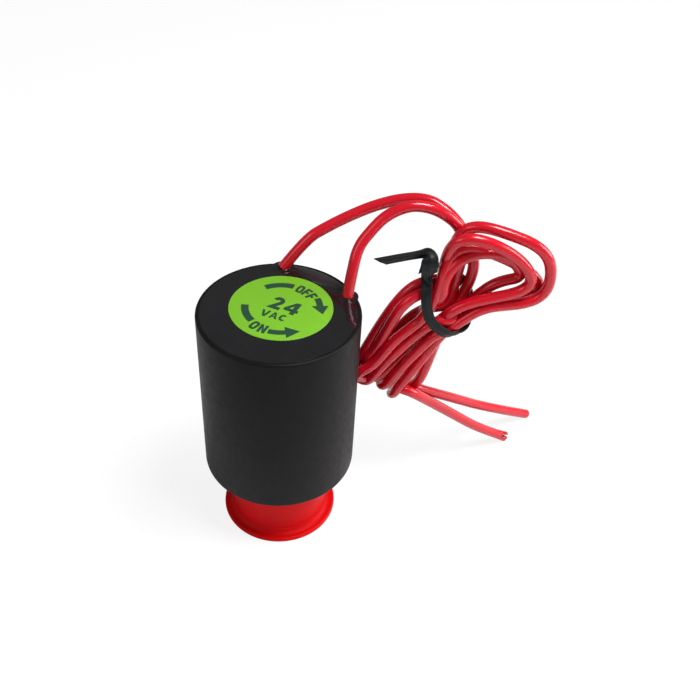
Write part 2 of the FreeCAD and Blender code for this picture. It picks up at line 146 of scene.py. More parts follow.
def tone_drift_group() -> bpy.types.NodeTree:
    """Build the group that lets a colour and a roughness wander over a surface.

    A coarse noise darkens and lightens the colour by up to Amount, and a finer one moves the
    roughness between its two limits.

    Returns:
        The node group.
    """
    group, entry, leave = new_group(
        "tone_drift",
        [("Vector", "NodeSocketVector", 0.0), ("Colour", "NodeSocketColor", (0.5, 0.5, 0.5, 1.0)),
         ("Scale", "NodeSocketFloat", 200.0), ("Amount", "NodeSocketFloat", 0.1),
         ("Rough Low", "NodeSocketFloat", 0.3), ("Rough High", "NodeSocketFloat", 0.5)],
        [("Colour", "NodeSocketColor"), ("Roughness", "NodeSocketFloat")])
    noise_span = {"From Min": 0.3, "From Max": 0.7}
    coarse = group.nodes.new("ShaderNodeTexNoise")
    set_inputs(coarse, {"Detail": 3.0})
    fine = group.nodes.new("ShaderNodeTexNoise")
    set_inputs(fine, {"Detail": 4.0})
    finer_scale = add_math(group, "MULTIPLY", 0.0, 3.7)
    signed = group.nodes.new("ShaderNodeMapRange")
    set_inputs(signed, {**noise_span, "To Min": -1.0, "To Max": 1.0})
    swing = add_math(group, "MULTIPLY")
    value = add_math(group, "ADD", 0.0, 1.0)
    shifted = group.nodes.new("ShaderNodeHueSaturation")
    rough = group.nodes.new("ShaderNodeMapRange")
    set_inputs(rough, noise_span)
    link_all(group, (entry, "Vector", coarse, "Vector"), (entry, "Vector", fine, "Vector"),
             (entry, "Scale", coarse, "Scale"), (entry, "Scale", finer_scale, 0),
             (finer_scale, 0, fine, "Scale"), (coarse, "Fac", signed, "Value"),
             (signed, "Result", swing, 0), (entry, "Amount", swing, 1), (swing, 0, value, 0),
             (value, 0, shifted, "Value"), (entry, "Colour", shifted, "Color"),
             (shifted, "Color", leave, "Colour"), (fine, "Fac", rough, "Value"),
             (entry, "Rough Low", rough, "To Min"), (entry, "Rough High", rough, "To Max"),
             (rough, "Result", leave, "Roughness"))
    return group


def fine_relief_group(kind: Relief) -> bpy.types.NodeTree:
    """Build the group that gives the height of one kind of fine relief.

    MOULDED is an even spark-eroded grain, TURNED the rings of a lathe tool, WOUND the turns of
    wire along Z, and CAST the slow swell of resin that has set.

    Args:
        kind: Which relief.

    Returns:
        The node group.
    """
    group, entry, leave = new_group(
        f"relief_{kind.value}",
        [("Vector", "NodeSocketVector", 0.0), ("Scale", "NodeSocketFloat", 1000.0)],
        [("Height", "NodeSocketFloat")])
    if kind in (Relief.MOULDED, Relief.CAST):
        pattern = group.nodes.new("ShaderNodeTexNoise")
        set_inputs(pattern, {"Detail": 2.0 if kind is Relief.CAST else 5.0})
    else:
        pattern = group.nodes.new("ShaderNodeTexWave")
        pattern.wave_type = "RINGS" if kind is Relief.TURNED else "BANDS"
        pattern.rings_direction = pattern.bands_direction = "Z"
        set_inputs(pattern, {"Distortion": 0.3})
    link_all(group, (entry, "Vector", pattern, "Vector"), (entry, "Scale", pattern, "Scale"),
             (pattern, "Fac", leave, "Height"))
    return group


@dataclass(frozen=True)
class Finish:
    """A material: its colour, how it wanders, its gloss and its fine relief."""

    name: str
    colour: tuple[float, float, float, float]
    rough: tuple[float, float] = (0.35, 0.5)
    metallic: float = 0.0
    drift: float = 0.08
    drift_scale: float = 180.0
    relief: Relief = Relief.MOULDED
    relief_scale: float = 2500.0
    relief_depth: float = 0.02
    coat: float = 0.0
    coat_rough: float = 0.1
    specular: float = 0.5
    subsurface: float = 0.0
    slot: str = ""

    def material(self, groups: dict) -> bpy.types.Material:
        """Build the material.

        Args:
            groups: Node groups by name.

        Returns:
            The material.
        """
        material = bpy.data.materials.new(self.name)
        material.use_nodes = True
        nodes = material.node_tree.nodes
        place = nodes.new("ShaderNodeTexCoord")
        drift = nodes.new("ShaderNodeGroup")
        drift.node_tree = groups["tone_drift"]
        set_inputs(drift, {"Colour": self.colour, "Scale": self.drift_scale, "Amount": self.drift,
                           "Rough Low": self.rough[0], "Rough High": self.rough[1]})
        relief = nodes.new("ShaderNodeGroup")
        relief.node_tree = groups[self.relief]
        set_inputs(relief, {"Scale": self.relief_scale})
        bump = nodes.new("ShaderNodeBump")
        set_inputs(bump, {"Strength": 1.0, "Distance": self.relief_depth * MM})
        shader = nodes["Principled BSDF"]
        set_inputs(shader, {"Metallic": self.metallic, "Specular IOR Level": self.specular,
                            "Coat Weight": self.coat, "Coat Roughness": self.coat_rough})
        if self.subsurface:
            set_inputs(shader, {"Subsurface Weight": self.subsurface, "Subsurface Scale": 1.0,
                                "Subsurface Radius": (0.0012, 0.0003, 0.0002)})
        link_all(material.node_tree, (place, "Object", drift, "Vector"), (place, "Object", relief, "Vector"),
                 (drift, "Colour", shader, "Base Color"), (drift, "Roughness", shader, "Roughness"),
                 (relief, "Height", bump, "Height"), (bump, "Normal", shader, "Normal"))
        return material


FINISHES = (
    Finish("coil_black", linear(17, 16, 16), (0.42, 0.52), drift=0.10, relief_depth=0.012, specular=0.11,
           slot="coil_black"),
    Finish("resin_black", linear(20, 20, 22), (0.05, 0.11), drift=0.12, relief=Relief.CAST,
           relief_scale=260.0, relief_depth=0.05, slot="potting_black"),
    Finish("sealant_black", linear(38, 36, 38), (0.06, 0.12), drift=0.1, relief=Relief.CAST,
           relief_scale=300.0, relief_depth=0.05, slot="potting_black"),
    Finish("label_green", linear(112, 174, 34), (0.34, 0.44), drift=0.03, relief_depth=0.006,
           slot="label_green"),
    Finish("label_print", linear(26, 66, 44), (0.35, 0.5), drift=0.05, relief_depth=0.004,
           slot="label_green"),
    Finish("cap_red", linear(206, 3, 8), (0.4, 0.52), drift=0.05, relief_depth=0.015, specular=0.1,
           slot="cap_red"),
    Finish("lead_red", linear(200, 12, 34), (0.16, 0.24), drift=0.06, drift_scale=120.0, relief_depth=0.015,
           relief_scale=1400.0, specular=0.5, slot="lead_red"),
    Finish("tie_black", linear(20, 22, 25), (0.38, 0.5), drift=0.15, relief_depth=0.03, specular=0.2,
           slot="tie_black"),
    Finish("stem_black", linear(34, 34, 36), (0.4, 0.52), drift=0.1, relief_depth=0.012, slot="stem_black"),
    Finish("copper", linear(200, 112, 72), (0.22, 0.34), metallic=1.0, drift=0.12, relief=Relief.WOUND,
           relief_scale=700.0, relief_depth=0.05, slot="copper"),
    Finish("copper_strand", linear(96, 66, 50), (0.45, 0.6), metallic=1.0, drift=0.25, slot="copper"),
    Finish("magnet_steel", linear(150, 152, 155), (0.28, 0.42), metallic=1.0, drift=0.1, relief=Relief.TURNED,
           relief_scale=900.0, relief_depth=0.01, slot="magnet_steel"),
    Finish("stainless", linear(186, 186, 184), (0.16, 0.26), metallic=1.0, drift=0.06, relief=Relief.TURNED,
           relief_scale=1300.0, relief_depth=0.006, slot="stainless"),
    Finish("bobbin_nylon", linear(226, 218, 196), (0.4, 0.55), drift=0.05, subsurface=0.1,
           slot="bobbin_nylon"),
    Finish("amber_tape", linear(196, 128, 40), (0.2, 0.3), drift=0.1, coat=0.3, slot="amber_tape"),
    Finish("seal_rubber", linear(30, 30, 30), (0.5, 0.65), drift=0.1, slot="seal_rubber"),
)


class Paint:
    """Holds the built materials and puts them on pieces."""

    def __init__(self) -> None:
        """Build the groups, then every material once."""
        groups = {kind: fine_relief_group(kind) for kind in Relief}
        groups["tone_drift"] = tone_drift_group()
        self.finishes = {finish.name: finish for finish in FINISHES}
        self.materials = {finish.name: finish.material(groups) for finish in FINISHES}

    def dress(self, piece: bpy.types.Object, finish: str) -> None:
        """Give a piece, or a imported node, one finish.

        Args:
            piece: Object with a mesh or a curve.
            finish: Name of the finish.
        """
        slots = piece.data.materials
        if len(slots) == 0:
            slots.append(self.materials[finish])
        for index in range(len(slots)):
            slots[index] = self.materials[finish]

    def new_piece(self, piece: bpy.types.Object, finish: str, body: str) -> None:
        """Dress a new piece and let it ride on a body.

        Args:
            piece: The new piece.
            finish: Name of its finish.
            body: Body that carries it.
        """
        self.dress(piece, finish)
        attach(piece, body)
        log.info("%s: %s on %s", piece.name, finish, body)

    def nodes(self, finish: str, *names: str) -> None:
        """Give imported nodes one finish."""
        for name in names:
            self.dress(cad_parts[name], finish)


# Surfaces

def add_object(name: str, data: bpy.types.ID) -> bpy.types.Object:
    """Make an object of a mesh, a curve, a lamp or a camera, and link it to the scene.

    Args:
        name: Object's name.
        data: What it holds.

    Returns:
        The object.
    """
    piece = bpy.data.objects.new(name, data)
    bpy.context.scene.collection.objects.link(piece)
    return piece


def grid_mesh(name: str, points: Array, wrap: tuple[bool, bool]) -> bpy.types.Object:
    """Make an object from a grid of points in millimetres.

    Each cell of the grid becomes one quad. A wrapped direction joins its last row to its first.
    Points that coincide, such as a pole's, are merged, and the faces are turned outwards.

    Args:
        name: Piece's name.
        points: Array of shape (rows, columns, 3).
        wrap: Whether rows and columns close on themselves.

    Returns:
        The new object, linked to the scene.
    """
    rows, columns, _ = points.shape
    row, column = np.meshgrid(np.arange(rows if wrap[0] else rows - 1),
                              np.arange(columns if wrap[1] else columns - 1), indexing="ij")
    next_row, next_column = (row + 1) % rows, (column + 1) % columns
    faces = np.stack([row * columns + column, row * columns + next_column,
                      next_row * columns + next_column, next_row * columns + column], -1).reshape(-1, 4)
    mesh = bpy.data.meshes.new(name)
    mesh.from_pydata((points.reshape(-1, 3) * MM).tolist(), [], faces.tolist())
    tidy = bmesh.new()
    tidy.from_mesh(mesh)
    bmesh.ops.remove_doubles(tidy, verts=tidy.verts, dist=1e-7)
    bmesh.ops.recalc_face_normals(tidy, faces=tidy.faces)
    for face in tidy.faces:
        face.smooth = True
    tidy.to_mesh(mesh)
    tidy.free()
    return add_object(name, mesh)


def capped(loops: Array) -> Array:
    """Close a stack of loops at both ends, by a row of points at the first and last loops' middles."""
    ends = loops[[0, -1]].mean(1, keepdims=True).repeat(loops.shape[1], 1)
    return np.concatenate([ends[:1], loops, ends[1:]])


def join_pieces(parts: list[bpy.types.Object], name: str) -> bpy.types.Object:
    """Join several pieces into one mesh.

    Args:
        parts: The pieces, which are removed.
        name: The joined piece's name.

    Returns:
        The joined piece.
    """
    joined = bmesh.new()
    for part in parts:
        joined.from_mesh(part.data)
        bpy.data.objects.remove(part)
    mesh = bpy.data.meshes.new(name)
    joined.to_mesh(mesh)
    joined.free()
    return add_object(name, mesh)


def rounded_outline(corners: list[tuple[float, float, float]], steps: int = 6) -> Array:
    """Round the corners of an open outline.

    Each corner is cut back along both its sides by its own radius times the tangent of half the
    turn, and an arc of that radius joins the two cuts.

    Args:
        corners: Radius, height and corner radius of each point. The ends keep their corners.
        steps: Points on each arc, less one.

    Returns:
        Array of (radius, height) points.
    """
    outline = [np.array(corners[0][:2], float)[None]]
    for before, corner, after in zip(corners, corners[1:], corners[2:]):
        here = np.array(corner[:2], float)
        if corner[2] <= 0:
            outline.append(here[None])
            continue
        into = here - np.array(before[:2])
        out = np.array(after[:2]) - here
        into, out = into / np.linalg.norm(into), out / np.linalg.norm(out)
        half = math.acos(float(np.clip(into @ out, -1, 1))) / 2
        inwards = (out - into) / np.linalg.norm(out - into)
        centre = here + inwards * corner[2] / math.cos(half)
        swing = np.linspace(-half, half, steps + 1)[:, None]
        outline.append(centre - corner[2] * (np.cos(swing) * inwards - np.sin(swing) * (into + out)
                                             / np.linalg.norm(into + out)))
    outline.append(np.array(corners[-1][:2], float)[None])
    return np.concatenate(outline)


def turned_points(profile: Array, segments: int) -> Array:
    """Turn a profile about Z: x = r cos t, y = r sin t, z = height.

    Args:
        profile: Array of (radius, height) points.
        segments: Points round the axis.

    Returns:
        Array of shape (profile's points, segments, 3).
    """
    turn = np.linspace(0, 2 * np.pi, segments, endpoint=False)
    radius, height = profile[:, :1], profile[:, 1:]
    return np.stack([radius * np.cos(turn), radius * np.sin(turn), height + 0 * turn], -1)


def smooth_step(value: Array) -> Array:
    """Rise from 0 to 1 with no slope at either end: 3t^2 - 2t^3."""
    value = np.clip(value, 0, 1)
    return value * value * (3 - 2 * value)


# The potted body

@dataclass
class PottedFace:
    """Resin in the mouth of the housing, the lens of sealant between the leads, and the label."""

    top: float = 57.1
    radius: float = 15.72
    swell: float = 0.03
    skin_depth: float = 0.1
    meniscus: float = -0.04
    meniscus_reach: float = 0.45
    lens_angles: tuple[float, float] = (25.5, 79.5)
    lens_outer: float = 15.4
    lens_width: float = 3.5
    lens_rise: float = 0.42
    lens_root: float = 0.2
    collar_reach: float = 1.1
    collar_height: float = 0.16
    collar_fall: float = 0.25
    collar_root: float = 0.3
    label_centre: tuple[float, float] = (0.4, 1.05)
    label_radius: float = 10.4
    label_thickness: float = 0.15

    def resin_skin(self) -> bpy.types.Object:
        """Build the skin of the resin.

        Its height is top + swell wandering with two slow waves over the face, plus a meniscus
        that meets the rim as meniscus * exp(-(radius - r) / reach).

        Returns:
            The piece.
        """
        reach = 1 - np.linspace(1, 0, 40) ** 2
        r = (self.radius * reach)[:, None]
        turn = np.linspace(0, 2 * np.pi, 128, endpoint=False)[None]
        x, y = r * np.cos(turn), r * np.sin(turn)
        wave = 0.5 + 0.25 * np.sin(0.31 * x + 0.6) + 0.25 * np.cos(0.27 * y - 0.4)
        z = self.top + self.swell * wave + self.meniscus * np.exp(-(self.radius - r) / self.meniscus_reach)
        skin = np.stack([x, y, z], -1)
        base = skin[::-1].copy()
        base[..., 2] = self.top - self.skin_depth
        return grid_mesh("resin_skin", np.concatenate([skin, base]), (False, True))

    def sealant_lens(self) -> bpy.types.Object:
        """Build the lens of sealant.

        Its outer edge is an arc inside the rim. Its inner edge leaves that arc by
        width * sin(pi u) ** 0.8, and its height is rise * sqrt(4 v (1 - v)) * sin(pi u) ** 0.5.

        Returns:
            The piece.
        """
        u = np.linspace(0, 1, 60)[:, None]
        v = np.linspace(0, 1, 24)[None]
        turn = np.radians(self.lens_angles[0] + u * (self.lens_angles[1] - self.lens_angles[0]))
        width = self.lens_width * np.sin(np.pi * u).clip(0) ** 0.8
        r = self.lens_outer - width * (1 - v)
        rise = self.lens_rise * np.sqrt(4 * v * (1 - v)) * np.sin(np.pi * u).clip(0) ** 0.5
        upper = np.stack([r * np.cos(turn), r * np.sin(turn), self.top + rise + 0 * v], -1)
        lower = upper[:, ::-1].copy()
        lower[..., 2] = self.top - self.lens_root
        return grid_mesh("sealant_lens", np.concatenate([upper, lower], 1), (False, True))

    def lead_collar(self, name: str, centre: Point, heading: Point, lead_radius: float) -> bpy.types.Object:
        """Build the small collar of resin that climbs a lead where it leaves the face.

        The collar's foot is the ellipse in which a slanting round lead meets a level face,
        r / sqrt(1 - (d . e)^2), and its height falls as exp(-s / fall) with the distance s from it.

        Args:
            name: Piece's name.
            centre: Middle of the lead at the face.
            heading: Direction in which the lead leaves.
            lead_radius: Radius of its insulation.

        Returns:
            The piece.
        """
        turn = np.linspace(0, 2 * np.pi, 48, endpoint=False)[None]
        spread = np.linspace(0, 1, 14)[:, None] ** 1.6 * self.collar_reach
        unit = np.array(heading) / np.linalg.norm(heading)
        along = unit[0] * np.cos(turn) + unit[1] * np.sin(turn)
        foot = lead_radius / np.sqrt(1 - along ** 2) - 0.06
        climb = self.collar_height * np.exp(-spread / self.collar_fall)
        r = foot + spread
        x = centre[0] + r * np.cos(turn) + unit[0] / unit[2] * climb
        y = centre[1] + r * np.sin(turn) + unit[1] / unit[2] * climb
        z = centre[2] + climb + 0.02 + 0 * turn
        outer = np.stack([x, y, z], -1)
        inner = outer[::-1].copy()
        inner[..., 2] = centre[2] - self.collar_root
        return grid_mesh(name, np.concatenate([outer, inner]), (True, True))

    def label_disc(self) -> bpy.types.Object:
        """Build the label.

        Returns:
            The piece: a disc with a slightly rounded edge.
        """
        r, low, high = self.label_radius, self.top, self.top + self.label_thickness
        profile = rounded_outline([(0, high, 0), (r, high, 0.07), (r, low, 0), (0, low, 0)], 4)
        points = turned_points(profile, 128)
        points[..., :2] += self.label_centre
        return grid_mesh("label_disc", points, (False, True))


def rounded_ring(half_width: float, half_height: float, stroke: float) -> list[Array]:
    """Draw a letter O: two ovals |x / a|^3 + |y / b|^3 = 1, a stroke apart.

    Args:
        half_width: The letter's half width.
        half_height: Its half height.
        stroke: Distance between the ovals.

    Returns:
        The outer and the inner outline.
    """
    t = np.linspace(0, 2 * np.pi, 48, endpoint=False)
    unit = np.stack([np.sign(np.cos(t)) * np.abs(np.cos(t)) ** (2 / 3),
                     np.sign(np.sin(t)) * np.abs(np.sin(t)) ** (2 / 3)], -1)
    return [unit * (half_width, half_height), unit * (half_width - stroke, half_height - stroke)]


def stroke_outline(path: Array, stroke: float) -> list[Array]:
    """Draw a stroke of even width round a path.

    Each side lies half a stroke off the path along the mean of the two normals at a point,
    divided by its cosine to either, which mitres the corners.

    Args:
        path: Array of (x, y) points.
        stroke: Width.

    Returns:
        One closed outline.
    """
    run = np.diff(path, axis=0)
    normal = np.stack([-run[:, 1], run[:, 0]], -1) / np.linalg.norm(run, axis=1, keepdims=True)
    before, after = np.concatenate([normal[:1], normal]), np.concatenate([normal, normal[-1:]])
    mean = before + after
    mean /= np.linalg.norm(mean, axis=1, keepdims=True)
    offset = mean / (mean * after).sum(1, keepdims=True) * stroke / 2
    return [np.concatenate([path + offset, (path - offset)[::-1]])]


def letter_c() -> list[Array]:
    """Draw a C: a stroke along an oval, open from -48 to 48 degrees."""
    t = np.radians(np.linspace(48, 312, 40))
    return stroke_outline(np.stack([0.27 * np.cos(t), 0.38 * np.sin(t)], -1), 0.24)


def figure_two() -> list[Array]:
    """Draw a 2: an arc over the top, then straight down to the left and along the foot.

    Returns:
        Its outline.
    """
    t = np.radians(np.linspace(170, -35, 24))
    bow = np.stack([0.2 * np.cos(t), 0.19 + 0.21 * np.sin(t)], -1)
    return stroke_outline(np.concatenate([bow, [(-0.15, -0.38), (0.34, -0.38)]]), 0.24)


GLYPHS: dict[str, list] = {
    "O": rounded_ring(0.32, 0.5, 0.22),
    "N": [[(-0.33, -0.5), (-0.1, -0.5), (-0.1, 0.02), (0.12, -0.5), (0.33, -0.5), (0.33, 0.5), (0.1, 0.5),
           (0.1, -0.02), (-0.12, 0.5), (-0.33, 0.5)]],
    "F": [[(-0.28, -0.5), (-0.03, -0.5), (-0.03, -0.12), (0.22, -0.12), (0.22, 0.1), (-0.03, 0.1),
           (-0.03, 0.28), (0.28, 0.28), (0.28, 0.5), (-0.28, 0.5)]],
    "V": [[(-0.14, -0.5), (0.14, -0.5), (0.46, 0.5), (0.2, 0.5), (0.0, -0.16), (-0.2, 0.5), (-0.46, 0.5)]],
    "A": [[(-0.42, -0.5), (-0.2, -0.5), (-0.14, -0.28), (0.14, -0.28), (0.2, -0.5), (0.42, -0.5), (0.12, 0.5),
           (-0.12, 0.5)], [(-0.09, -0.1), (0.09, -0.1), (0.0, 0.24)]],
    "C": letter_c(),
    "2": figure_two(),
    "4": [[(0.03, -0.5), (0.28, -0.5), (0.28, -0.3), (0.4, -0.3), (0.4, -0.08), (0.28, -0.08), (0.28, 0.5),
           (0.02, 0.5), (-0.4, -0.1), (-0.4, -0.3), (0.03, -0.3)],
          [(0.03, -0.08), (-0.15, -0.08), (0.03, 0.19)]],
}


@dataclass
class LabelPrint:
    """Turning marks and rating on the label: two arrows with their words, and a plain rating."""

    face: PottedFace
    bar_radius: float = 7.15
    bar_width: float = 1.5
    shaft_width: float = 1.35
    head_width: float = 3.4
    tip_radius: float = 8.55
    ink_thickness: float = 0.02
    letter_height: float = 2.5
    number_height: float = 3.9
    unit_height: float = 2.0

    def ink(self, name: str, outlines: list) -> bpy.types.Object:
        """Fill outlines with ink, flat on the label.

        Args:
            name: Piece's name.
            outlines: Closed outlines in millimetres from the label's middle. An inner one is a hole.

        Returns:
            The piece.
        """
        curve = bpy.data.curves.new(name, "CURVE")
        curve.dimensions = "2D"
        curve.fill_mode = "BOTH"
        curve.extrude = self.ink_thickness / 2
        for outline in outlines:
            flat = np.asarray(outline, float)
            spline = curve.splines.new("POLY")
            spline.points.add(len(flat) - 1)
            rows = np.concatenate([flat, np.zeros((len(flat), 1)), np.ones((len(flat), 1))], 1)
            spline.points.foreach_set("co", rows.ravel())
            spline.use_cyclic_u = True
        source = add_object(name + "_outline", curve)
        graph = bpy.context.evaluated_depsgraph_get()
        mesh = bpy.data.meshes.new_from_object(source.evaluated_get(graph))
        bpy.data.objects.remove(source)
        height = self.face.top + self.face.label_thickness + self.ink_thickness / 4
        place = Matrix.Translation(Vector((*self.face.label_centre, height)) * MM)
        mesh.transform(place @ Matrix.Scale(MM, 4))
        return add_object(name, mesh)

    def arc_bar(self, name: str, start: float, end: float) -> bpy.types.Object:
        """Build a curved bar: radius bar_radius +- width / 2, angle from start to end.

        Args:
            name: Piece's name.
            start: Angle of one end, in degrees.
            end: Angle of the other.

        Returns:
            The piece.
        """
        turn = np.radians(np.linspace(start, end, 24))
        path = self.bar_radius * np.stack([np.cos(turn), np.sin(turn)], -1)
        return self.ink(name, stroke_outline(path, self.bar_width))

    def arc_arrow(self, name: str, radius: float, start: float, neck: float, tip: float) -> bpy.types.Object:
        """Build an arrow that follows an arc: a shaft of even width, then a head to a point.

        Args:
            name: Piece's name.
            radius: Radius of the shaft's middle.
            start: Angle at which the shaft starts, in degrees.
            neck: Angle of the head's base.
            tip: Angle of the tip, which lies at tip_radius.

        Returns:
            The piece.
        """
        turn = np.radians(np.linspace(start, neck, 12))
        around = np.stack([np.cos(turn), np.sin(turn)], -1)
        point = self.tip_radius * np.array([math.cos(math.radians(tip)), math.sin(math.radians(tip))])
        wing, shaft = self.head_width / 2, self.shaft_width / 2
        head = np.array([(radius + wing) * around[-1], point, (radius - wing) * around[-1]])
        outline = np.concatenate([(radius + shaft) * around, head, ((radius - shaft) * around)[::-1]])
        return self.ink(name, [outline])

    def word(self, name: str, letters: str, height: float, places: list) -> bpy.types.Object:
        """Set a word's letters, each at its own place.

        Args:
            name: Piece's name.
            letters: The word.
            height: Height of its letters.
            places: For each letter the (x, y) of its middle and its direction of reading in degrees.

        Returns:
            The piece.
        """
        outlines = []
        for letter, (x, y, turn) in zip(letters, places):
            c, s = math.cos(math.radians(turn)), math.sin(math.radians(turn))
            turned = height * np.array([[c, s], [-s, c]])
            outlines += [np.asarray(part, float) @ turned + (x, y) for part in GLYPHS[letter]]
        return self.ink(name, outlines)

    def arc_places(self, radius: float, angles: tuple[float, ...], tops_out: bool) -> list:
        """Places of letters on an arc.

        Args:
            radius: Radius of the letters' middles.
            angles: Angle of each letter, in degrees.
            tops_out: Whether their tops are outwards.

        Returns:
            The (x, y) and the direction of reading of each letter.
        """
        reading = -90 if tops_out else 90
        return [(radius * math.cos(math.radians(a)), radius * math.sin(math.radians(a)), a + reading)
                for a in angles]

    def line_places(self, middle: tuple[float, float], turn: float, spacing: float, count: int) -> list:
        """Places of letters on a straight line.

        Args:
            middle: Middle of the word.
            turn: Direction of reading, in degrees.
            spacing: Distance between letters.
            count: How many letters there are.

        Returns:
            The (x, y) and the direction of reading of each letter.
        """
        along = np.array([math.cos(math.radians(turn)), math.sin(math.radians(turn))])
        steps = (np.arange(count) - (count - 1) / 2) * spacing
        return [(*(np.array(middle) + step * along), turn) for step in steps]

    def build(self, paint: Paint) -> None:
        """Build every mark and dress it with the print's ink.

        Args:
            paint: Materials.
        """
        off_places = self.arc_places(7.0, (55.6, 41.6, 28.6), True)
        on_places = self.arc_places(7.75, (228.3, 242.7), False)
        number_places = self.line_places((0.75, 0.3), -29.5, 3.5, 2)
        unit_places = self.line_places((-1.4, -2.8), -25.0, 1.9, 3)
        pieces = [
            self.arc_bar("off_bar", 116, 68), self.arc_arrow("off_arrow", 7.75, 20.5, 1.5, -17.0),
            self.arc_bar("on_bar", 174, 217), self.arc_arrow("on_arrow", 8.05, 251.5, 275.5, 295.0),
            self.word("off_word", "OFF", self.letter_height, off_places),
            self.word("on_word", "ON", self.letter_height, on_places),
            self.word("rating_number", "24", self.number_height, number_places),
            self.word("rating_unit", "VAC", self.unit_height, unit_places),
        ]
        for piece in pieces:
            paint.new_piece(piece, "label_print", COIL)


@dataclass
class CoilBody:
    """Housing with its potted face."""

    face: PottedFace = field(default_factory=PottedFace)
    radius: float = 16.5
    bottom: float = 16.8
    floor: float = 1.8
    hole: float = 9.08
    rim_wall: float = 0.75
    wall: float = 1.5
    rim_depth: float = 5.2

    def housing(self) -> bpy.types.Object:
        """Turn the housing's rounded profile.

        Returns:
            The piece.
        """
        top = self.face.top
        mouth = self.radius - self.rim_wall
        inner = self.radius - self.wall
        step = top - self.rim_depth
        corners = [
            (self.hole, self.bottom, 0), (self.radius, self.bottom, 0.7), (self.radius, top, 0.55),
            (mouth, top, 0.05), (mouth, step, 0), (inner, step, 0), (inner, self.bottom + self.floor, 0.2),
            (self.hole, self.bottom + self.floor, 0), (self.hole, self.bottom, 0),
        ]
        profile = rounded_outline(corners, 6)[:-1]
        return grid_mesh("housing_cup", turned_points(profile, 160), (True, True))

    def build(self, paint: Paint, exits: list[tuple[Point, Point]], lead_radius: float) -> None:
        """Dress the housing and build what shows on the potted face.

        Args:
            paint: Materials.
            exits: Middle and heading of each lead at the face.
            lead_radius: Radius of the leads' insulation.
        """
        cup = self.housing()
        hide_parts("housing")
        paint.new_piece(cup, "coil_black", COIL)
        paint.nodes("resin_black", "potting_fill")
        paint.new_piece(self.face.resin_skin(), "resin_black", COIL)
        lens = self.face.sealant_lens()
        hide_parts("lead_sealant")
        paint.new_piece(lens, "sealant_black", COIL)
        for name, (centre, heading) in zip(("collar_a", "collar_b"), exits):
            paint.new_piece(self.face.lead_collar(name, centre, heading, lead_radius), "resin_black", COIL)
        label = self.face.label_disc()
        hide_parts("rating_label")
        paint.new_piece(label, "label_green", COIL)
        LabelPrint(self.face).build(paint)


# The stem, its cap and what is inside

@dataclass
class ThreadedStem:
    """Stem with a real helical thread, and its O-ring."""

    crest: float = 9.525
    thread_depth: float = 0.72
    pitch: float = 1.27
    lead_in: float = 1.3
    thread_top: float = 16.1
    neck_relief: float = 0.5
    nose: float = 7.6
    nose_top: float = 8.8
    edge: float = 0.5
    groove: float = 6.6
    groove_span: tuple[float, float] = (6.6, 8.2)
    bottom: float = 4.6
    floor_top: float = 18.6
    shoulder: float = 13.95
    shoulder_top: float = 20.0
    bore: float = 5.45
    mouth: float = 6.05
    mouth_top: float = 6.0
    ring_radius: float = 7.4
    ring_section: float = 0.75
    ring_height: float = 7.4

    def stem(self) -> bpy.types.Object:
        """Build the stem.

        The thread's radius is crest - depth * w. Along the helix, at the phase p = z / pitch - t / 2 pi,
        w is 1.35 * |2 p - 1| - 0.175, kept between 0 and 1, which gives flat crests and roots. The
        radius never leaves the envelope of the chamfered blank.

        Returns:
            The piece.
        """
        rows = np.arange(self.nose_top, self.thread_top, 0.09)
        low, high = self.groove_span
        neck = self.crest - self.neck_relief
        lower = [(self.nose - self.edge, self.bottom), (self.nose, self.bottom + self.edge), (self.nose, low),
                 (self.groove, low), (self.groove, high), (self.nose, high), (self.nose, self.nose_top)]
        upper = [(neck, self.thread_top), (neck, self.floor_top), (self.shoulder, self.floor_top),
                 (self.shoulder, self.shoulder_top), (self.bore, self.shoulder_top),
                 (self.bore, self.mouth_top), (self.mouth, self.mouth_top), (self.mouth, self.bottom)]
        turn = np.linspace(0, 2 * np.pi, 120, endpoint=False)
        height = rows[:, None] + 0 * turn
        phase = (height / self.pitch - turn / (2 * np.pi)) % 1.0
        wave = np.clip(1.35 * np.abs(2 * phase - 1) - 0.175, 0, 1)
        envelope = np.minimum(self.crest, self.crest - self.lead_in + (rows - self.nose_top))[:, None]
        radius = np.minimum(self.crest - self.thread_depth * wave, envelope)
        thread = np.stack([radius * np.cos(turn), radius * np.sin(turn), height], -1)
        blank = [turned_points(np.array(part, float), 120) for part in (lower, upper)]
        return grid_mesh("stem", np.concatenate([blank[0], thread, blank[1]]), (True, True))

    def o_ring(self) -> bpy.types.Object:
        """Build the O-ring: a circle of section carried round Z.

        Returns:
            The piece.
        """
        around = np.linspace(0, 2 * np.pi, 20, endpoint=False)
        profile = np.stack([self.ring_radius + self.ring_section * np.cos(around),
                            self.ring_height + self.ring_section * np.sin(around)], -1)
        return grid_mesh("o_ring", turned_points(profile, 80), (True, True))

    def build(self, paint: Paint) -> None:
        """Build and dress both pieces.

        Args:
            paint: Materials.
        """
        stem = self.stem()
        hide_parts("threaded_stem")
        paint.new_piece(stem, "stem_black", COIL)
        ring = self.o_ring()
        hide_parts("stem_o_ring")
        paint.new_piece(ring, "seal_rubber", COIL)


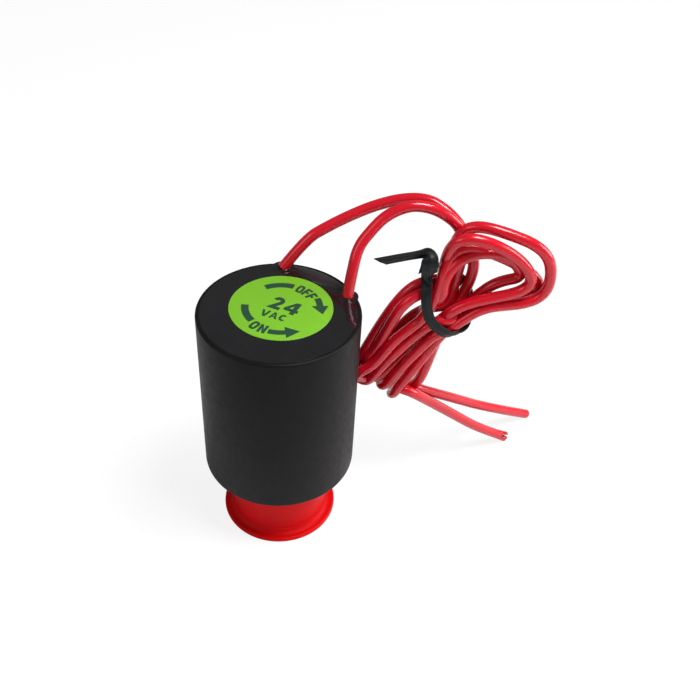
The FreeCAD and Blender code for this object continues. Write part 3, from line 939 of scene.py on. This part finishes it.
@dataclass
class ThreadCap:
    """Moulded cap with a foot flange, pulled over the thread."""

    flange: float = 12.9
    flange_height: float = 1.1
    neck: float = 10.75
    bore: float = 9.75
    lip: float = 16.5
    floor: float = 1.5
    foot_recess: float = 0.4
    foot_width: float = 2.2
    neck_fillet: float = 1.45

    def build(self, paint: Paint) -> None:
        """Turn the cap's rounded profile and dress it.

        Args:
            paint: Materials.
        """
        foot = self.flange - self.foot_width
        corners = [
            (0, self.foot_recess, 0), (foot - self.foot_recess, self.foot_recess, 0.2), (foot, 0, 0.1),
            (self.flange, 0, 0.35), (self.flange, self.flange_height, 0.5),
            (self.neck, self.flange_height, self.neck_fillet), (self.neck, self.lip, 0.3),
            (self.bore, self.lip, 0.3), (self.bore, self.floor, 0.5), (0, self.floor, 0),
        ]
        cap = grid_mesh("cap", turned_points(rounded_outline(corners, 8), 128), (False, True))
        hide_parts("thread_cap")
        paint.new_piece(cap, "cap_red", CAP)


@dataclass
class MagneticCircuit:
    """Everything round the guide tube: bobbin, winding, steel and the plunger with its spring."""

    plunger_travel: float = 2.6

    def build(self, paint: Paint) -> None:
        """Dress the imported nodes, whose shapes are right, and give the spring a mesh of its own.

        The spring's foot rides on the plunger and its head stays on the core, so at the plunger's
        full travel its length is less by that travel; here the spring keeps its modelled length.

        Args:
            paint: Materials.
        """
        paint.nodes("magnet_steel", "yoke_sleeve", "lower_flux_washer", "upper_flux_washer")
        paint.nodes("stainless", "guide_tube", "fixed_core", "plunger", "plunger_spring", "plunger_retainer")
        paint.nodes("copper", "copper_winding", "shading_ring")
        paint.nodes("copper_strand", "winding_tails")
        paint.nodes("bobbin_nylon", "bobbin")
        paint.nodes("amber_tape", "winding_tape", "splice_sleeves")
        paint.nodes("seal_rubber", "plunger_seal")
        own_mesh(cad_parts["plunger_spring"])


# Leads and tie

@dataclass(frozen=True)
class TieFrame:
    """Middle of the tie and the three directions there: across the bundle, through it and along it."""

    centre: Point = (35.35, 6.0, 52.75)
    lean: float = 26.7

    @property
    def across(self) -> Array:
        """Direction across the bundle, towards its upper left side."""
        lean = math.radians(self.lean)
        return np.array([-math.sin(lean), 0.0, math.cos(lean)])

    @property
    def along(self) -> Array:
        """Direction along the bundle, towards its loop."""
        lean = math.radians(self.lean)
        return np.array([math.cos(lean), 0.0, math.sin(lean)])

    def place(self, across: float, depth: float) -> Array:
        """Point in the tie, across the bundle and away from its front."""
        return np.array(self.centre) + across * self.across + depth * np.array([0.0, 1.0, 0.0])


@dataclass(frozen=True)
class Turn:
    """One wide turn of the loop, from its slot in the tie round and back to another slot.

    At t from 0 to 2 pi the turn runs reach * (1 - cos t) / 2 out along its angle, and to the side
    by width * |sin(t / 2)| ** root * |cos(t / 2)| ** tip, each half with a width, root and tip of
    its own. The slots' offsets fade out with the distance from the tie, and the depth goes from
    the slots' to its own in the middle. Between the slots t leaves out the short steps at either
    end, so that the lead bends gently into the tie.
    """

    angle: float
    reach: float
    widths: tuple[float, float]
    roots: tuple[float, float]
    tips: tuple[float, float]
    slots: tuple[tuple[float, float], tuple[float, float]]
    depth: float
    points: int = 17
    first_step: float = 0.8

    def route(self, tie: TieFrame) -> Array:
        """Work out the turn's points.

        Args:
            tie: Middle and directions of the tie.

        Returns:
            Array of (x, y, z) points in millimetres.
        """
        inner = np.linspace(self.first_step, 2 * np.pi - self.first_step, self.points - 2)
        t = np.concatenate([[0.0], inner, [2 * np.pi]])
        first = t <= np.pi
        heading = math.radians(self.angle)
        out = np.array([math.cos(heading), 0.0, math.sin(heading)])
        side = np.array([-out[2], 0.0, out[0]])
        run = self.reach * (1 - np.cos(t)) / 2
        width = (np.where(first, *self.widths) * np.abs(np.sin(t / 2)) ** np.where(first, *self.roots)
                 * np.abs(np.cos(t / 2)) ** np.where(first, *self.tips))
        offset = np.where(first, self.slots[0][0], self.slots[1][0]) * np.cos(np.pi * run / self.reach / 2)
        fade = smooth_step(run / self.reach)
        depth = (1 - fade) * np.where(first, self.slots[0][1], self.slots[1][1]) + fade * self.depth
        return (np.array(tie.centre) + run[:, None] * out + width[:, None] * side
                + offset[:, None] * tie.across + depth[:, None] * np.array([0.0, 1.0, 0.0]))


def end_directions(end: Point, before: Point) -> tuple[Array, Array, Array]:
    """Work out the directions at a lead's end.

    Args:
        end: Middle of the end.
        before: Earlier point on the lead.

    Returns:
        Unit vectors along the lead, level across it, and upwards across it.
    """
    heading = np.subtract(end, before)
    heading = heading / np.linalg.norm(heading)
    level = np.cross(heading, [0.0, 0.0, 1.0])
    level = level / np.linalg.norm(level)
    return heading, level, np.cross(level, heading)


@dataclass
class LeadBundle:
    """Both leads: out of the face, over and down, folded to and fro through the tie, and out."""

    tie: TieFrame = field(default_factory=TieFrame)
    radius: float = 1.2
    exit_a: Point = (0.904, 14.72, 57.1)
    exit_b: Point = (13.85, 4.641, 57.1)
    arch_a: tuple[Point, ...] = (
        (5.7, 16.0, 63.4), (9.7, 16.9, 65.6), (14.6, 17.6, 68.1), (19.8, 18.0, 70.4),
        (25.6, 17.5, 72.4), (30.4, 16.3, 72.9), (33.7, 14.6, 71.5), (35.7, 13.2, 70.1),
    )
    arch_b: tuple[Point, ...] = (
        (14.7, 6.2, 62.9), (15.8, 8.3, 66.7), (18.1, 9.6, 69.4), (21.0, 10.7, 72.4),
        (24.9, 11.1, 74.3), (27.9, 11.2, 74.5), (31.2, 11.0, 73.7), (34.3, 10.8, 71.8),
    )
    # Where both leads come down inside the loop's eye to the tie.
    down_a: tuple[Point, ...] = (
        (37.4, 12.0, 68.2), (39.1, 10.8, 65.3), (40.2, 9.8, 61.6), (39.8, 9.2, 58.2),
        (38.4, 8.4, 54.8), (37.1, 6.8, 51.8),
    )
    down_b: tuple[Point, ...] = (
        (36.4, 10.6, 69.6), (37.3, 10.2, 66.5), (37.3, 9.8, 62.7), (36.8, 9.4, 59.2),
        (36.3, 8.8, 55.8),
    )
    fold_a1: tuple[Point, ...] = (
        (33.0, 4.6, 50.7), (31.1, 4.6, 49.3), (29.0, 4.6, 47.3), (25.7, 4.6, 43.2), (23.0, 4.8, 39.2),
        (21.1, 5.2, 35.7), (19.5, 6.2, 32.2), (17.5, 7.1, 32.5), (16.9, 7.4, 35.4), (18.0, 7.2, 39.1),
        (19.9, 7.0, 44.1), (21.9, 7.0, 48.8), (24.1, 7.0, 53.3), (26.6, 7.2, 56.9), (29.3, 7.5, 58.7),
    )
    fold_a2: tuple[Point, ...] = (
        (35.0, 4.8, 48.2), (32.6, 4.8, 46.4), (31.0, 4.8, 44.4), (28.5, 5.0, 40.5), (25.8, 5.4, 35.8),
        (24.0, 5.7, 32.0), (22.7, 7.1, 30.0), (23.1, 9.8, 30.8), (25.5, 9.6, 36.0), (28.0, 8.6, 43.3),
        (29.8, 8.0, 50.5),
    )
    fold_a3: tuple[Point, ...] = (
        (35.6, 6.6, 46.6), (33.2, 6.2, 43.2), (30.7, 5.8, 38.6), (28.3, 5.6, 34.2), (26.7, 5.8, 31.1),
        (25.8, 6.5, 28.2), (25.4, 8.3, 26.5), (26.9, 10.1, 26.9),
    )
    fold_b1: tuple[Point, ...] = (
        (31.2, 8.0, 51.7), (27.2, 8.0, 48.7), (24.1, 8.3, 42.7), (21.6, 8.6, 37.0), (19.3, 7.0, 36.6),
        (18.7, 6.0, 38.9), (20.4, 5.8, 41.9), (21.9, 5.0, 46.2), (23.4, 4.8, 50.5), (25.3, 4.6, 55.0),
        (28.3, 5.0, 57.5),
    )
    fold_b2: tuple[Point, ...] = (
        (33.8, 5.6, 50.2), (32.2, 6.6, 46.8), (28.0, 6.8, 40.7), (24.8, 6.8, 36.2), (22.6, 6.8, 33.5),
        (19.9, 6.6, 32.8), (17.6, 5.6, 34.1), (17.1, 4.4, 36.5), (19.7, 4.2, 38.4), (21.7, 4.2, 41.2),
        (24.3, 4.2, 45.8), (27.6, 4.2, 49.3), (30.1, 4.4, 51.8),
    )
    fold_b3: tuple[Point, ...] = (
        (34.9, 8.2, 45.4), (34.4, 8.4, 43.0), (33.7, 8.6, 39.2), (32.7, 8.6, 34.2), (31.7, 8.6, 30.2),
        (29.6, 8.9, 27.3), (27.0, 9.2, 27.5), (26.2, 7.1, 29.5),
    )
    tail_a: tuple[Point, ...] = (
        (29.3, 9.0, 28.4), (33.4, 10.4, 25.4), (40.0, 14.0, 20.0), (53.0, 20.8, 9.2),
        (65.6, 26.5, 1.2),
    )
    tail_b: tuple[Point, ...] = (
        (29.2, 5.5, 29.8), (34.9, 8.4, 23.6), (41.2, 11.6, 16.6), (49.8, 15.0, 7.8), (56.2, 17.5, 2.8),
    )
    slit_angle: float = 0.75
    lip_length: float = 2.6
    lip_shorter: float = 0.16
    lip_ragged: float = 0.12
    lip_spread: float = 0.12
    lip_walls: tuple[float, float] = (0.02, -0.42)
    strand_radius: float = 0.13
    strand_ring: float = 0.27
    strand_root: float = 0.8
    # The outermost strand of the loop stands away from the turns, from inside the eye over them.
    outer_strand: tuple[Point, ...] = (
        (34.8, 8.4, 59.0), (35.3, 9.4, 61.6), (35.2, 9.9, 64.2), (35.5, 9.4, 67.6), (36.8, 8.8, 70.6),
        (38.9, 8.0, 71.8), (41.4, 7.2, 71.9), (44.1, 6.4, 71.5), (47.0, 5.8, 70.7), (49.8, 5.2, 69.8),
        (52.4, 4.8, 68.1), (54.1, 4.6, 65.7), (54.9, 4.4, 62.5), (54.8, 4.4, 59.2), (53.3, 4.4, 56.7),
        (50.2, 4.4, 55.4), (46.9, 4.4, 55.0), (43.6, 4.4, 54.6), (40.3, 4.6, 52.9),
    )
    front_turn: Turn = Turn(48.0, 18.6, (31.8, -20.5), (2.7, 4.0), (1.15, 0.9),
                            ((5.2, 1.0), (0.1, -1.4)), -2.2)
    middle_turn: Turn = Turn(72.0, 15.4, (8.3, -47.7), (2.9, 2.5), (0.9, 1.1),
                             ((6.6, -1.4), (-2.1, 1.4)), 0.6)
    inner_turn: Turn = Turn(47.0, 16.8, (14.5, -28.9), (1.7, 14.5), (1.3, 1.0),
                            ((4.6, -1.6), (-3.3, 1.6)), 0.5)

    def route_a(self) -> Array:
        """Lay lead A's points end to end.

        Returns:
            Array of (x, y, z) points in millimetres.
        """
        place = self.tie.place
        parts = [[self.exit_a], self.arch_a, self.down_a, [place(-2.1, -1.4)], self.fold_a1,
                 self.outer_strand, [place(-3.6, -1.4)], self.fold_a2, self.inner_turn.route(self.tie),
                 self.fold_a3, self.tail_a]
        return np.concatenate([np.array(part, float) for part in parts])

    def route_b(self) -> Array:
        """Lay lead B's points end to end.

        Returns:
            Array of (x, y, z) points in millimetres.
        """
        parts = [[self.exit_b], self.arch_b, self.down_b, [self.tie.place(-0.2, 1.4)], self.fold_b1,
                 self.front_turn.route(self.tie), self.fold_b2, self.middle_turn.route(self.tie),
                 self.fold_b3, self.tail_b]
        return np.concatenate([np.array(part, float) for part in parts])

    def lead(self, name: str, route: Array) -> tuple[bpy.types.Object, float]:
        """Make one lead: an open NURBS spline with a round section.

        Args:
            name: Piece's name.
            route: Control points in millimetres.

        Returns:
            The curve's object and the length of its line in metres.
        """
        curve = bpy.data.curves.new(name, "CURVE")
        curve.dimensions = "3D"
        curve.resolution_u = 8
        spline = curve.splines.new("NURBS")
        spline.points.add(len(route) - 1)
        points = np.concatenate([route * MM, np.ones((len(route), 1))], 1)
        spline.points.foreach_set("co", points.ravel())
        spline.order_u = 3
        spline.use_endpoint_u = True
        piece = add_object(name, curve)
        graph = bpy.context.evaluated_depsgraph_get()
        line = bpy.data.meshes.new_from_object(piece.evaluated_get(graph))
        path = np.empty(len(line.vertices) * 3)
        line.vertices.foreach_get("co", path)
        bpy.data.meshes.remove(line)
        length = float(np.linalg.norm(np.diff(path.reshape(-1, 3), axis=0), axis=1).sum())
        curve.bevel_depth = self.radius * MM
        curve.bevel_resolution = 4
        curve.use_fill_caps = True
        return piece, length

    def strand_ends(self, name: str, end: Point, before: Point, reach: float,
                    bend: float) -> bpy.types.Object:
        """Build the seven strands of a bare conductor end.

        One strand is in the middle and six stand in a ring round it. Each is a tube whose middle
        runs along the lead and droops by bend * s^2.

        Args:
            name: Piece's name.
            end: Middle of the insulation's cut end.
            before: Earlier point on the lead, which gives its direction.
            reach: How far the strands stand out.
            bend: How much they droop.

        Returns:
            The piece.
        """
        heading, side, up = end_directions(end, before)
        s = np.linspace(-self.strand_root, reach, 12)
        around = np.linspace(0, 2 * np.pi, 10, endpoint=False)
        circle = self.strand_radius * (np.cos(around)[:, None] * side + np.sin(around)[:, None] * up)
        parts = []
        for i in range(7):
            angle = i * np.pi / 3
            offset = (np.cos(angle) * side + np.sin(angle) * up) * (self.strand_ring if i else 0.0)
            middle = np.array(end) + s[:, None] * heading + offset - (bend * s.clip(0) ** 2)[:, None] * up
            parts.append(grid_mesh(f"{name}_{i}", capped(middle[:, None] + circle[None]), (False, True)))
        return join_pieces(parts, name)

    def lip_end(self) -> Point:
        """Point where lead B's lips end, on from the end of its whole insulation."""
        heading = end_directions(self.tail_b[-1], self.tail_b[-2])[0]
        return tuple((self.tail_b[-1] + heading * self.lip_length).tolist())

    def split_lips(self, end: Point, before: Point) -> bpy.types.Object:
        """Build the split end of lead B's insulation: two lips with a slit between them.

        The lips are shells round the lead, each over half a turn less the slit. With s from 0 at
        the root to 1 at the tip, the slit's half angle is 0.1 + 0.75 * exp(-((s - 0.3) / 0.16)^2) +
        0.2 * s^2, and the lips bend apart by spread * s^2. The second lip is the shorter one, and
        both have a ragged tip, ragged * cos(5 * angle) longer.

        Args:
            end: Middle of the insulation's cut end.
            before: Earlier point on the lead, which gives its direction.

        Returns:
            The piece.
        """
        heading, level, above = end_directions(end, before)
        slit = math.cos(self.slit_angle) * level + math.sin(self.slit_angle) * above
        apart = -math.sin(self.slit_angle) * level + math.cos(self.slit_angle) * above
        s = np.linspace(0, 1, 24)[:, None, None]
        share = np.linspace(0, 1, 24)[None, :, None]
        gap = 0.1 + 0.75 * np.exp(-((s - 0.3) / 0.16) ** 2) + 0.2 * s ** 2
        sweep = gap + share * (np.pi - 2 * gap)
        lips = []
        for i, way in enumerate((1.0, -1.0)):
            length = self.lip_length * (1.0 - self.lip_shorter * (way < 0))
            reach = length * s + self.lip_ragged * np.cos(5 * sweep) * s
            middle = np.array(end) + (reach - self.lip_length) * heading
            shells = []
            for wall in self.lip_walls:
                ring = (self.radius + wall) * (np.cos(sweep) * slit + way * np.sin(sweep) * apart)
                shells.append(middle + ring + way * self.lip_spread * s ** 2 * apart)
            loops = np.concatenate([shells[0], shells[1][:, ::-1]], 1)
            lips.append(grid_mesh(f"lip_{i}", capped(loops), (False, True)))
        return join_pieces(lips, "split_lips")

    def build(self, paint: Paint) -> None:
        """Args:
            paint: Materials.
        """
        clean_end = self.strand_ends("core_a", self.tail_a[-1], self.tail_a[-2], 0.02, 0.0)
        bare_end = self.strand_ends("core_b", self.tail_b[-1], self.tail_b[-2], self.lip_length + 1.0, 0.02)
        lips = self.split_lips(self.lip_end(), self.tail_b[-1])
        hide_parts("bare_strands")
        for core in (clean_end, bare_end):
            paint.new_piece(core, "copper_strand", COIL)
        paint.new_piece(lips, "lead_red", COIL)
        rows = (
            ("lead_a_run", self.route_a(), self.exit_a, ("lead_a", "tail_a", "wire_hank"), [clean_end]),
            ("lead_b_run", self.route_b(), self.exit_b, ("lead_b", "tail_b"), [bare_end, lips]),
        )
        for name, route, leave, solids, pieces in rows:
            piece, length = self.lead(name, route)
            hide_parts(*solids)
            tuple(value * MM for value in leave)
            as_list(pieces)
            paint.new_piece(piece, "lead_red", COIL)
            log.info("%s: %.3f m long", name, length)


def smooth_path(points: Array, steps: int, closed: bool) -> Array:
    """Carry a smooth line through points.

    Between two points the line is the cubic whose slope at each is half the step between its
    neighbours, as in a Catmull-Rom spline.

    Args:
        points: Array of (x, y, z) points.
        steps: Points on each stretch.
        closed: Whether the last point leads back to the first.

    Returns:
        Array of points on the line.
    """
    if closed:
        before, here, after, later = (np.roll(points, shift, 0) for shift in (1, 0, -1, -2))
    else:
        ends = np.concatenate([2 * points[:1] - points[1:2], points, 2 * points[-1:] - points[-2:-1]])
        before, here, after, later = ends[:-3], ends[1:-2], ends[2:-1], ends[3:]
    t = np.linspace(0, 1, steps, endpoint=False)[None, :, None]
    before, here, after, later = (part[:, None] for part in (before, here, after, later))
    line = 0.5 * (2 * here + (after - before) * t + (2 * before - 5 * here + 4 * after - later) * t ** 2
                  + (3 * here - before - 3 * after + later) * t ** 3)
    line = line.reshape(-1, points.shape[1])
    return line if closed else np.concatenate([line, points[-1:]])


@dataclass
class TwistTie:
    """Plastic-coated wire ribbon round the bundle, twisted shut, with a long flat end."""

    ribbon_width: float = 2.2
    ribbon_edge: float = 0.3
    ribbon_core: float = 0.62
    swell_share: float = 0.16
    cut_slant: float = 1.0
    front: Point = (0.08, 0.756, -0.65)
    # The band's middle, from its upper end down the front of the bundle, under it and up its back.
    band_points: tuple[Point, ...] = (
        (29.7, 4.6, 60.7), (29.6, 3.1, 58.8), (29.9, 2.6, 56.2), (30.6, 2.5, 53.6), (31.7, 2.5, 51.6),
        (33.3, 2.6, 49.9), (35.2, 2.9, 48.5), (37.4, 4.1, 47.7), (39.3, 6.2, 48.0), (40.3, 8.6, 49.4),
        (40.4, 10.2, 52.0), (39.4, 10.8, 55.4), (37.0, 10.8, 58.2), (34.2, 10.4, 60.6), (31.4, 8.8, 61.8),
        (29.9, 6.6, 61.7),
    )
    # Points of the long end with its roll in degrees and its width: twisted up from the band, broad
    # over the top of the knot, then out to the left.
    long_end: tuple[tuple[float, ...], ...] = (
        (30.6, 4.6, 60.4, 70, 1.5), (30.5, 4.5, 61.4, 110, 2.0), (30.1, 4.2, 62.4, 165, 2.7),
        (29.8, 3.8, 63.5, 185, 3.2), (29.6, 3.5, 64.8, 180, 3.4), (29.6, 3.5, 66.0, 178, 3.4),
        (29.7, 4.0, 66.9, 180, 3.1), (29.3, 4.9, 67.3, 190, 2.6), (28.3, 5.2, 67.2, 220, 2.1),
        (26.9, 4.9, 67.1, 230, 2.0), (23.4, 4.4, 66.7, 230, 2.0), (19.8, 4.2, 66.0, 228, 2.0),
    )
    # The same of the short end, which stops as a stub on the knot's left.
    short_end: tuple[tuple[float, ...], ...] = (
        (29.9, 4.1, 60.6, 20, 1.7), (29.9, 4.5, 62.0, 50, 2.0), (30.4, 5.0, 63.2, 90, 2.2),
        (30.6, 5.1, 64.4, 140, 2.2), (30.0, 5.0, 65.2, 190, 2.2), (29.4, 4.8, 64.9, 200, 1.9),
        (29.0, 4.4, 64.4, 190, 1.7), (28.7, 4.0, 63.9, 180, 1.5),
    )

    def ribbon(self, name: str, path: Array, side: Array, width: Array, closed: bool) -> bpy.types.Object:
        """Carry the ribbon's section along a path.

        The section is as wide as width and as thick as edge, and swells over the wire in its
        middle as edge + (core - edge) * exp(-(v / swell_share)^2), v being the place across it in
        widths. An open ribbon's far end is cut at a slant.

        Args:
            name: Piece's name.
            path: Middle of the ribbon, in millimetres.
            side: Direction across the ribbon at each point of the path.
            width: Width at each point.
            closed: Whether the path closes on itself.

        Returns:
            The piece.
        """
        tangent = np.roll(path, -1, 0) - np.roll(path, 1, 0) if closed else np.gradient(path, axis=0)
        tangent /= np.linalg.norm(tangent, axis=1, keepdims=True)
        side = side - (side * tangent).sum(1, keepdims=True) * tangent
        side /= np.linalg.norm(side, axis=1, keepdims=True)
        normal = np.cross(tangent, side)
        v = np.linspace(-0.5, 0.5, 13)
        swell = np.exp(-(v / self.swell_share) ** 2)
        thick = self.ribbon_edge + (self.ribbon_core - self.ribbon_edge) * swell
        across = np.concatenate([v, v[::-1]])
        lift = np.concatenate([thick, -thick[::-1]]) / 2
        loops = (path[:, None] + (across * width[:, None])[..., None] * side[:, None]
                 + lift[None, :, None] * normal[:, None])
        if not closed:
            left = np.linalg.norm(path[-1] - path, axis=1)
            slant = self.cut_slant * (1 - smooth_step(left / (2 * self.ribbon_width)))
            loops += (slant[:, None] * across)[..., None] * self.ribbon_width * tangent[:, None]
            loops = capped(loops)
        return grid_mesh(name, loops, (closed, True))

    def band(self, tie: TieFrame) -> bpy.types.Object:
        """Build the band, which lies across the bundle.

        Args:
            tie: Directions of the tie.

        Returns:
            The piece.
        """
        path = smooth_path(np.array(self.band_points), 8, True)
        width = np.full(len(path), self.ribbon_width)
        return self.ribbon("tie_ribbon", path, np.tile(tie.along, (len(path), 1)), width, True)

    def end(self, name: str, points: tuple[tuple[float, ...], ...]) -> bpy.types.Object:
        """Build one twisted end.

        With no roll its broad side faces the front, and the roll turns it about its own line:
        side = cos(roll) * (line x front) + sin(roll) * front.

        Args:
            name: Piece's name.
            points: Points with their roll in degrees and the ribbon's width.

        Returns:
            The piece.
        """
        line = smooth_path(np.array(points), 10, False)
        path, roll, width = line[:, :3], np.radians(line[:, 3:4]), line[:, 4]
        front = np.tile(self.front, (len(path), 1))
        tangent = np.gradient(path, axis=0)
        tangent /= np.linalg.norm(tangent, axis=1, keepdims=True)
        level = np.cross(tangent, front)
        level /= np.linalg.norm(level, axis=1, keepdims=True)
        depth = np.cross(level, tangent)
        side = np.cos(roll) * level + np.sin(roll) * depth
        return self.ribbon(name, path, side, width, False)

    def build(self, paint: Paint, tie: TieFrame) -> None:
        """Build the tie in place of its solids.

        Args:
            paint: Materials.
            tie: Directions of the tie.
        """
        band = self.band(tie)
        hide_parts("tie_band")
        long_end = self.end("tie_long_end", self.long_end)
        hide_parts("tie_knot")
        for piece in (band, long_end, self.end("tie_short_end", self.short_end)):
            paint.new_piece(piece, "tie_black", COIL)


# Studio

@dataclass(frozen=True)
class SoftLamp:
    """Square area lamp, with its places and size in metres and its power in watts."""

    name: str
    place: Point
    aim: Point
    size: float
    power: float

    def hang(self) -> None:
        """Hang the lamp with its face towards its aim."""
        data = bpy.data.lights.new(self.name, "AREA")
        data.size = self.size
        data.energy = self.power
        back = (Vector(self.place) - Vector(self.aim)).normalized()
        turn = back.to_track_quat("Z", "Y").to_matrix().to_4x4()
        add_object(self.name, data).matrix_world = Matrix.Translation(Vector(self.place)) @ turn


@dataclass
class Studio:
    """Pale floor, soft lamps and the camera, with places in metres."""

    camera_place: Point = (0.0, -0.1376, 0.1651)
    looks_along: Point = (0.0800, 0.7557, -0.6500)
    upwards: Point = (0.0045, 0.6518, 0.7583)
    lens: float = 45.36
    sensor: float = 36.0
    floor_half: float = 3.0
    floor_grey: float = 0.82
    floor_glow: float = 1.06
    glow_share: float = 0.8
    ambient: float = 0.22
    lamps: tuple[SoftLamp, ...] = (
        SoftLamp("key", (0.20, -0.10, 0.60), (0.02, 0.0, 0.04), 0.22, 3.6),
        SoftLamp("fill", (-0.45, -0.25, 0.40), (0.0, 0.0, 0.04), 0.3, 0.6),
        SoftLamp("right", (0.55, 0.00, 0.22), (0.0, 0.0, 0.04), 0.3, 2.3),
    )

    def camera(self) -> None:
        """Set the camera at the photograph's place, by its view and its upward direction."""
        data = bpy.data.cameras.new("camera")
        data.lens = self.lens
        data.sensor_width = self.sensor
        data.clip_start = 0.005
        camera = add_object("camera", data)
        back = -Vector(self.looks_along).normalized()
        right = Vector(self.upwards).cross(back).normalized()
        turn = Matrix((right, back.cross(right), back)).transposed().to_4x4()
        camera.matrix_world = Matrix.Translation(Vector(self.camera_place)) @ turn
        bpy.context.scene.camera = camera

    def floor(self) -> None:
        """Lay a plain pale floor that keeps the object's shadow and shows white around it."""
        half = self.floor_half
        mesh = bpy.data.meshes.new("floor")
        corners = [(-half, -half, 0), (half, -half, 0), (half, half, 0), (-half, half, 0)]
        mesh.from_pydata(corners, [], [(0, 1, 2, 3)])
        material = bpy.data.materials.new("floor_white")
        material.use_nodes = True
        tree = material.node_tree
        shader = tree.nodes["Principled BSDF"]
        grey = (self.floor_grey, self.floor_grey, self.floor_grey, 1.0)
        set_inputs(shader, {"Base Color": grey, "Roughness": 0.9, "Specular IOR Level": 0.0})
        glow = tree.nodes.new("ShaderNodeEmission")
        set_inputs(glow, {"Color": WHITE, "Strength": self.floor_glow})
        rays = tree.nodes.new("ShaderNodeLightPath")
        share = add_math(tree, "MULTIPLY", 0.0, self.glow_share)
        mix = tree.nodes.new("ShaderNodeMixShader")
        link_all(tree, (rays, "Is Camera Ray", share, 0), (share, 0, mix, "Fac"), (shader, "BSDF", mix, 1),
                 (glow, "Emission", mix, 2), (mix, "Shader", tree.nodes["Material Output"], "Surface"))
        mesh.materials.append(material)
        add_object("floor", mesh)

    def world(self) -> None:
        """Light the scene evenly, with white only where the camera looks straight at it."""
        world = bpy.data.worlds.new("studio")
        bpy.context.scene.world = world
        world.use_nodes = True
        tree = world.node_tree
        ambient = tree.nodes["Background"]
        set_inputs(ambient, {"Color": WHITE, "Strength": self.ambient})
        white = tree.nodes.new("ShaderNodeBackground")
        set_inputs(white, {"Color": WHITE, "Strength": 1.0})
        rays = tree.nodes.new("ShaderNodeLightPath")
        mix = tree.nodes.new("ShaderNodeMixShader")
        link_all(tree, (rays, "Is Camera Ray", mix, "Fac"), (ambient, "Background", mix, 1),
                 (white, "Background", mix, 2), (mix, "Shader", tree.nodes["World Output"], "Surface"))

    def build(self) -> None:
        """Set up the whole studio."""
        self.camera()
        self.floor()
        self.world()
        for lamp in self.lamps:
            lamp.hang()
        bpy.context.scene.view_settings.view_transform = "Standard"


def main() -> None:
    """Build every sub-assembly in order."""
    logging.basicConfig(level=logging.INFO, format="%(name)s: %(message)s")
    Studio().build()
    paint = Paint()
    leads = LeadBundle()
    leads.build(paint)
    exits = [(leads.exit_a, tuple(np.subtract(leads.arch_a[0], leads.exit_a))),
             (leads.exit_b, tuple(np.subtract(leads.arch_b[0], leads.exit_b)))]
    CoilBody().build(paint, exits, leads.radius)
    ThreadedStem().build(paint)
    ThreadCap().build(paint)
    MagneticCircuit().build(paint)
    TwistTie().build(paint, leads.tie)


if __name__ == "__main__":
    main()
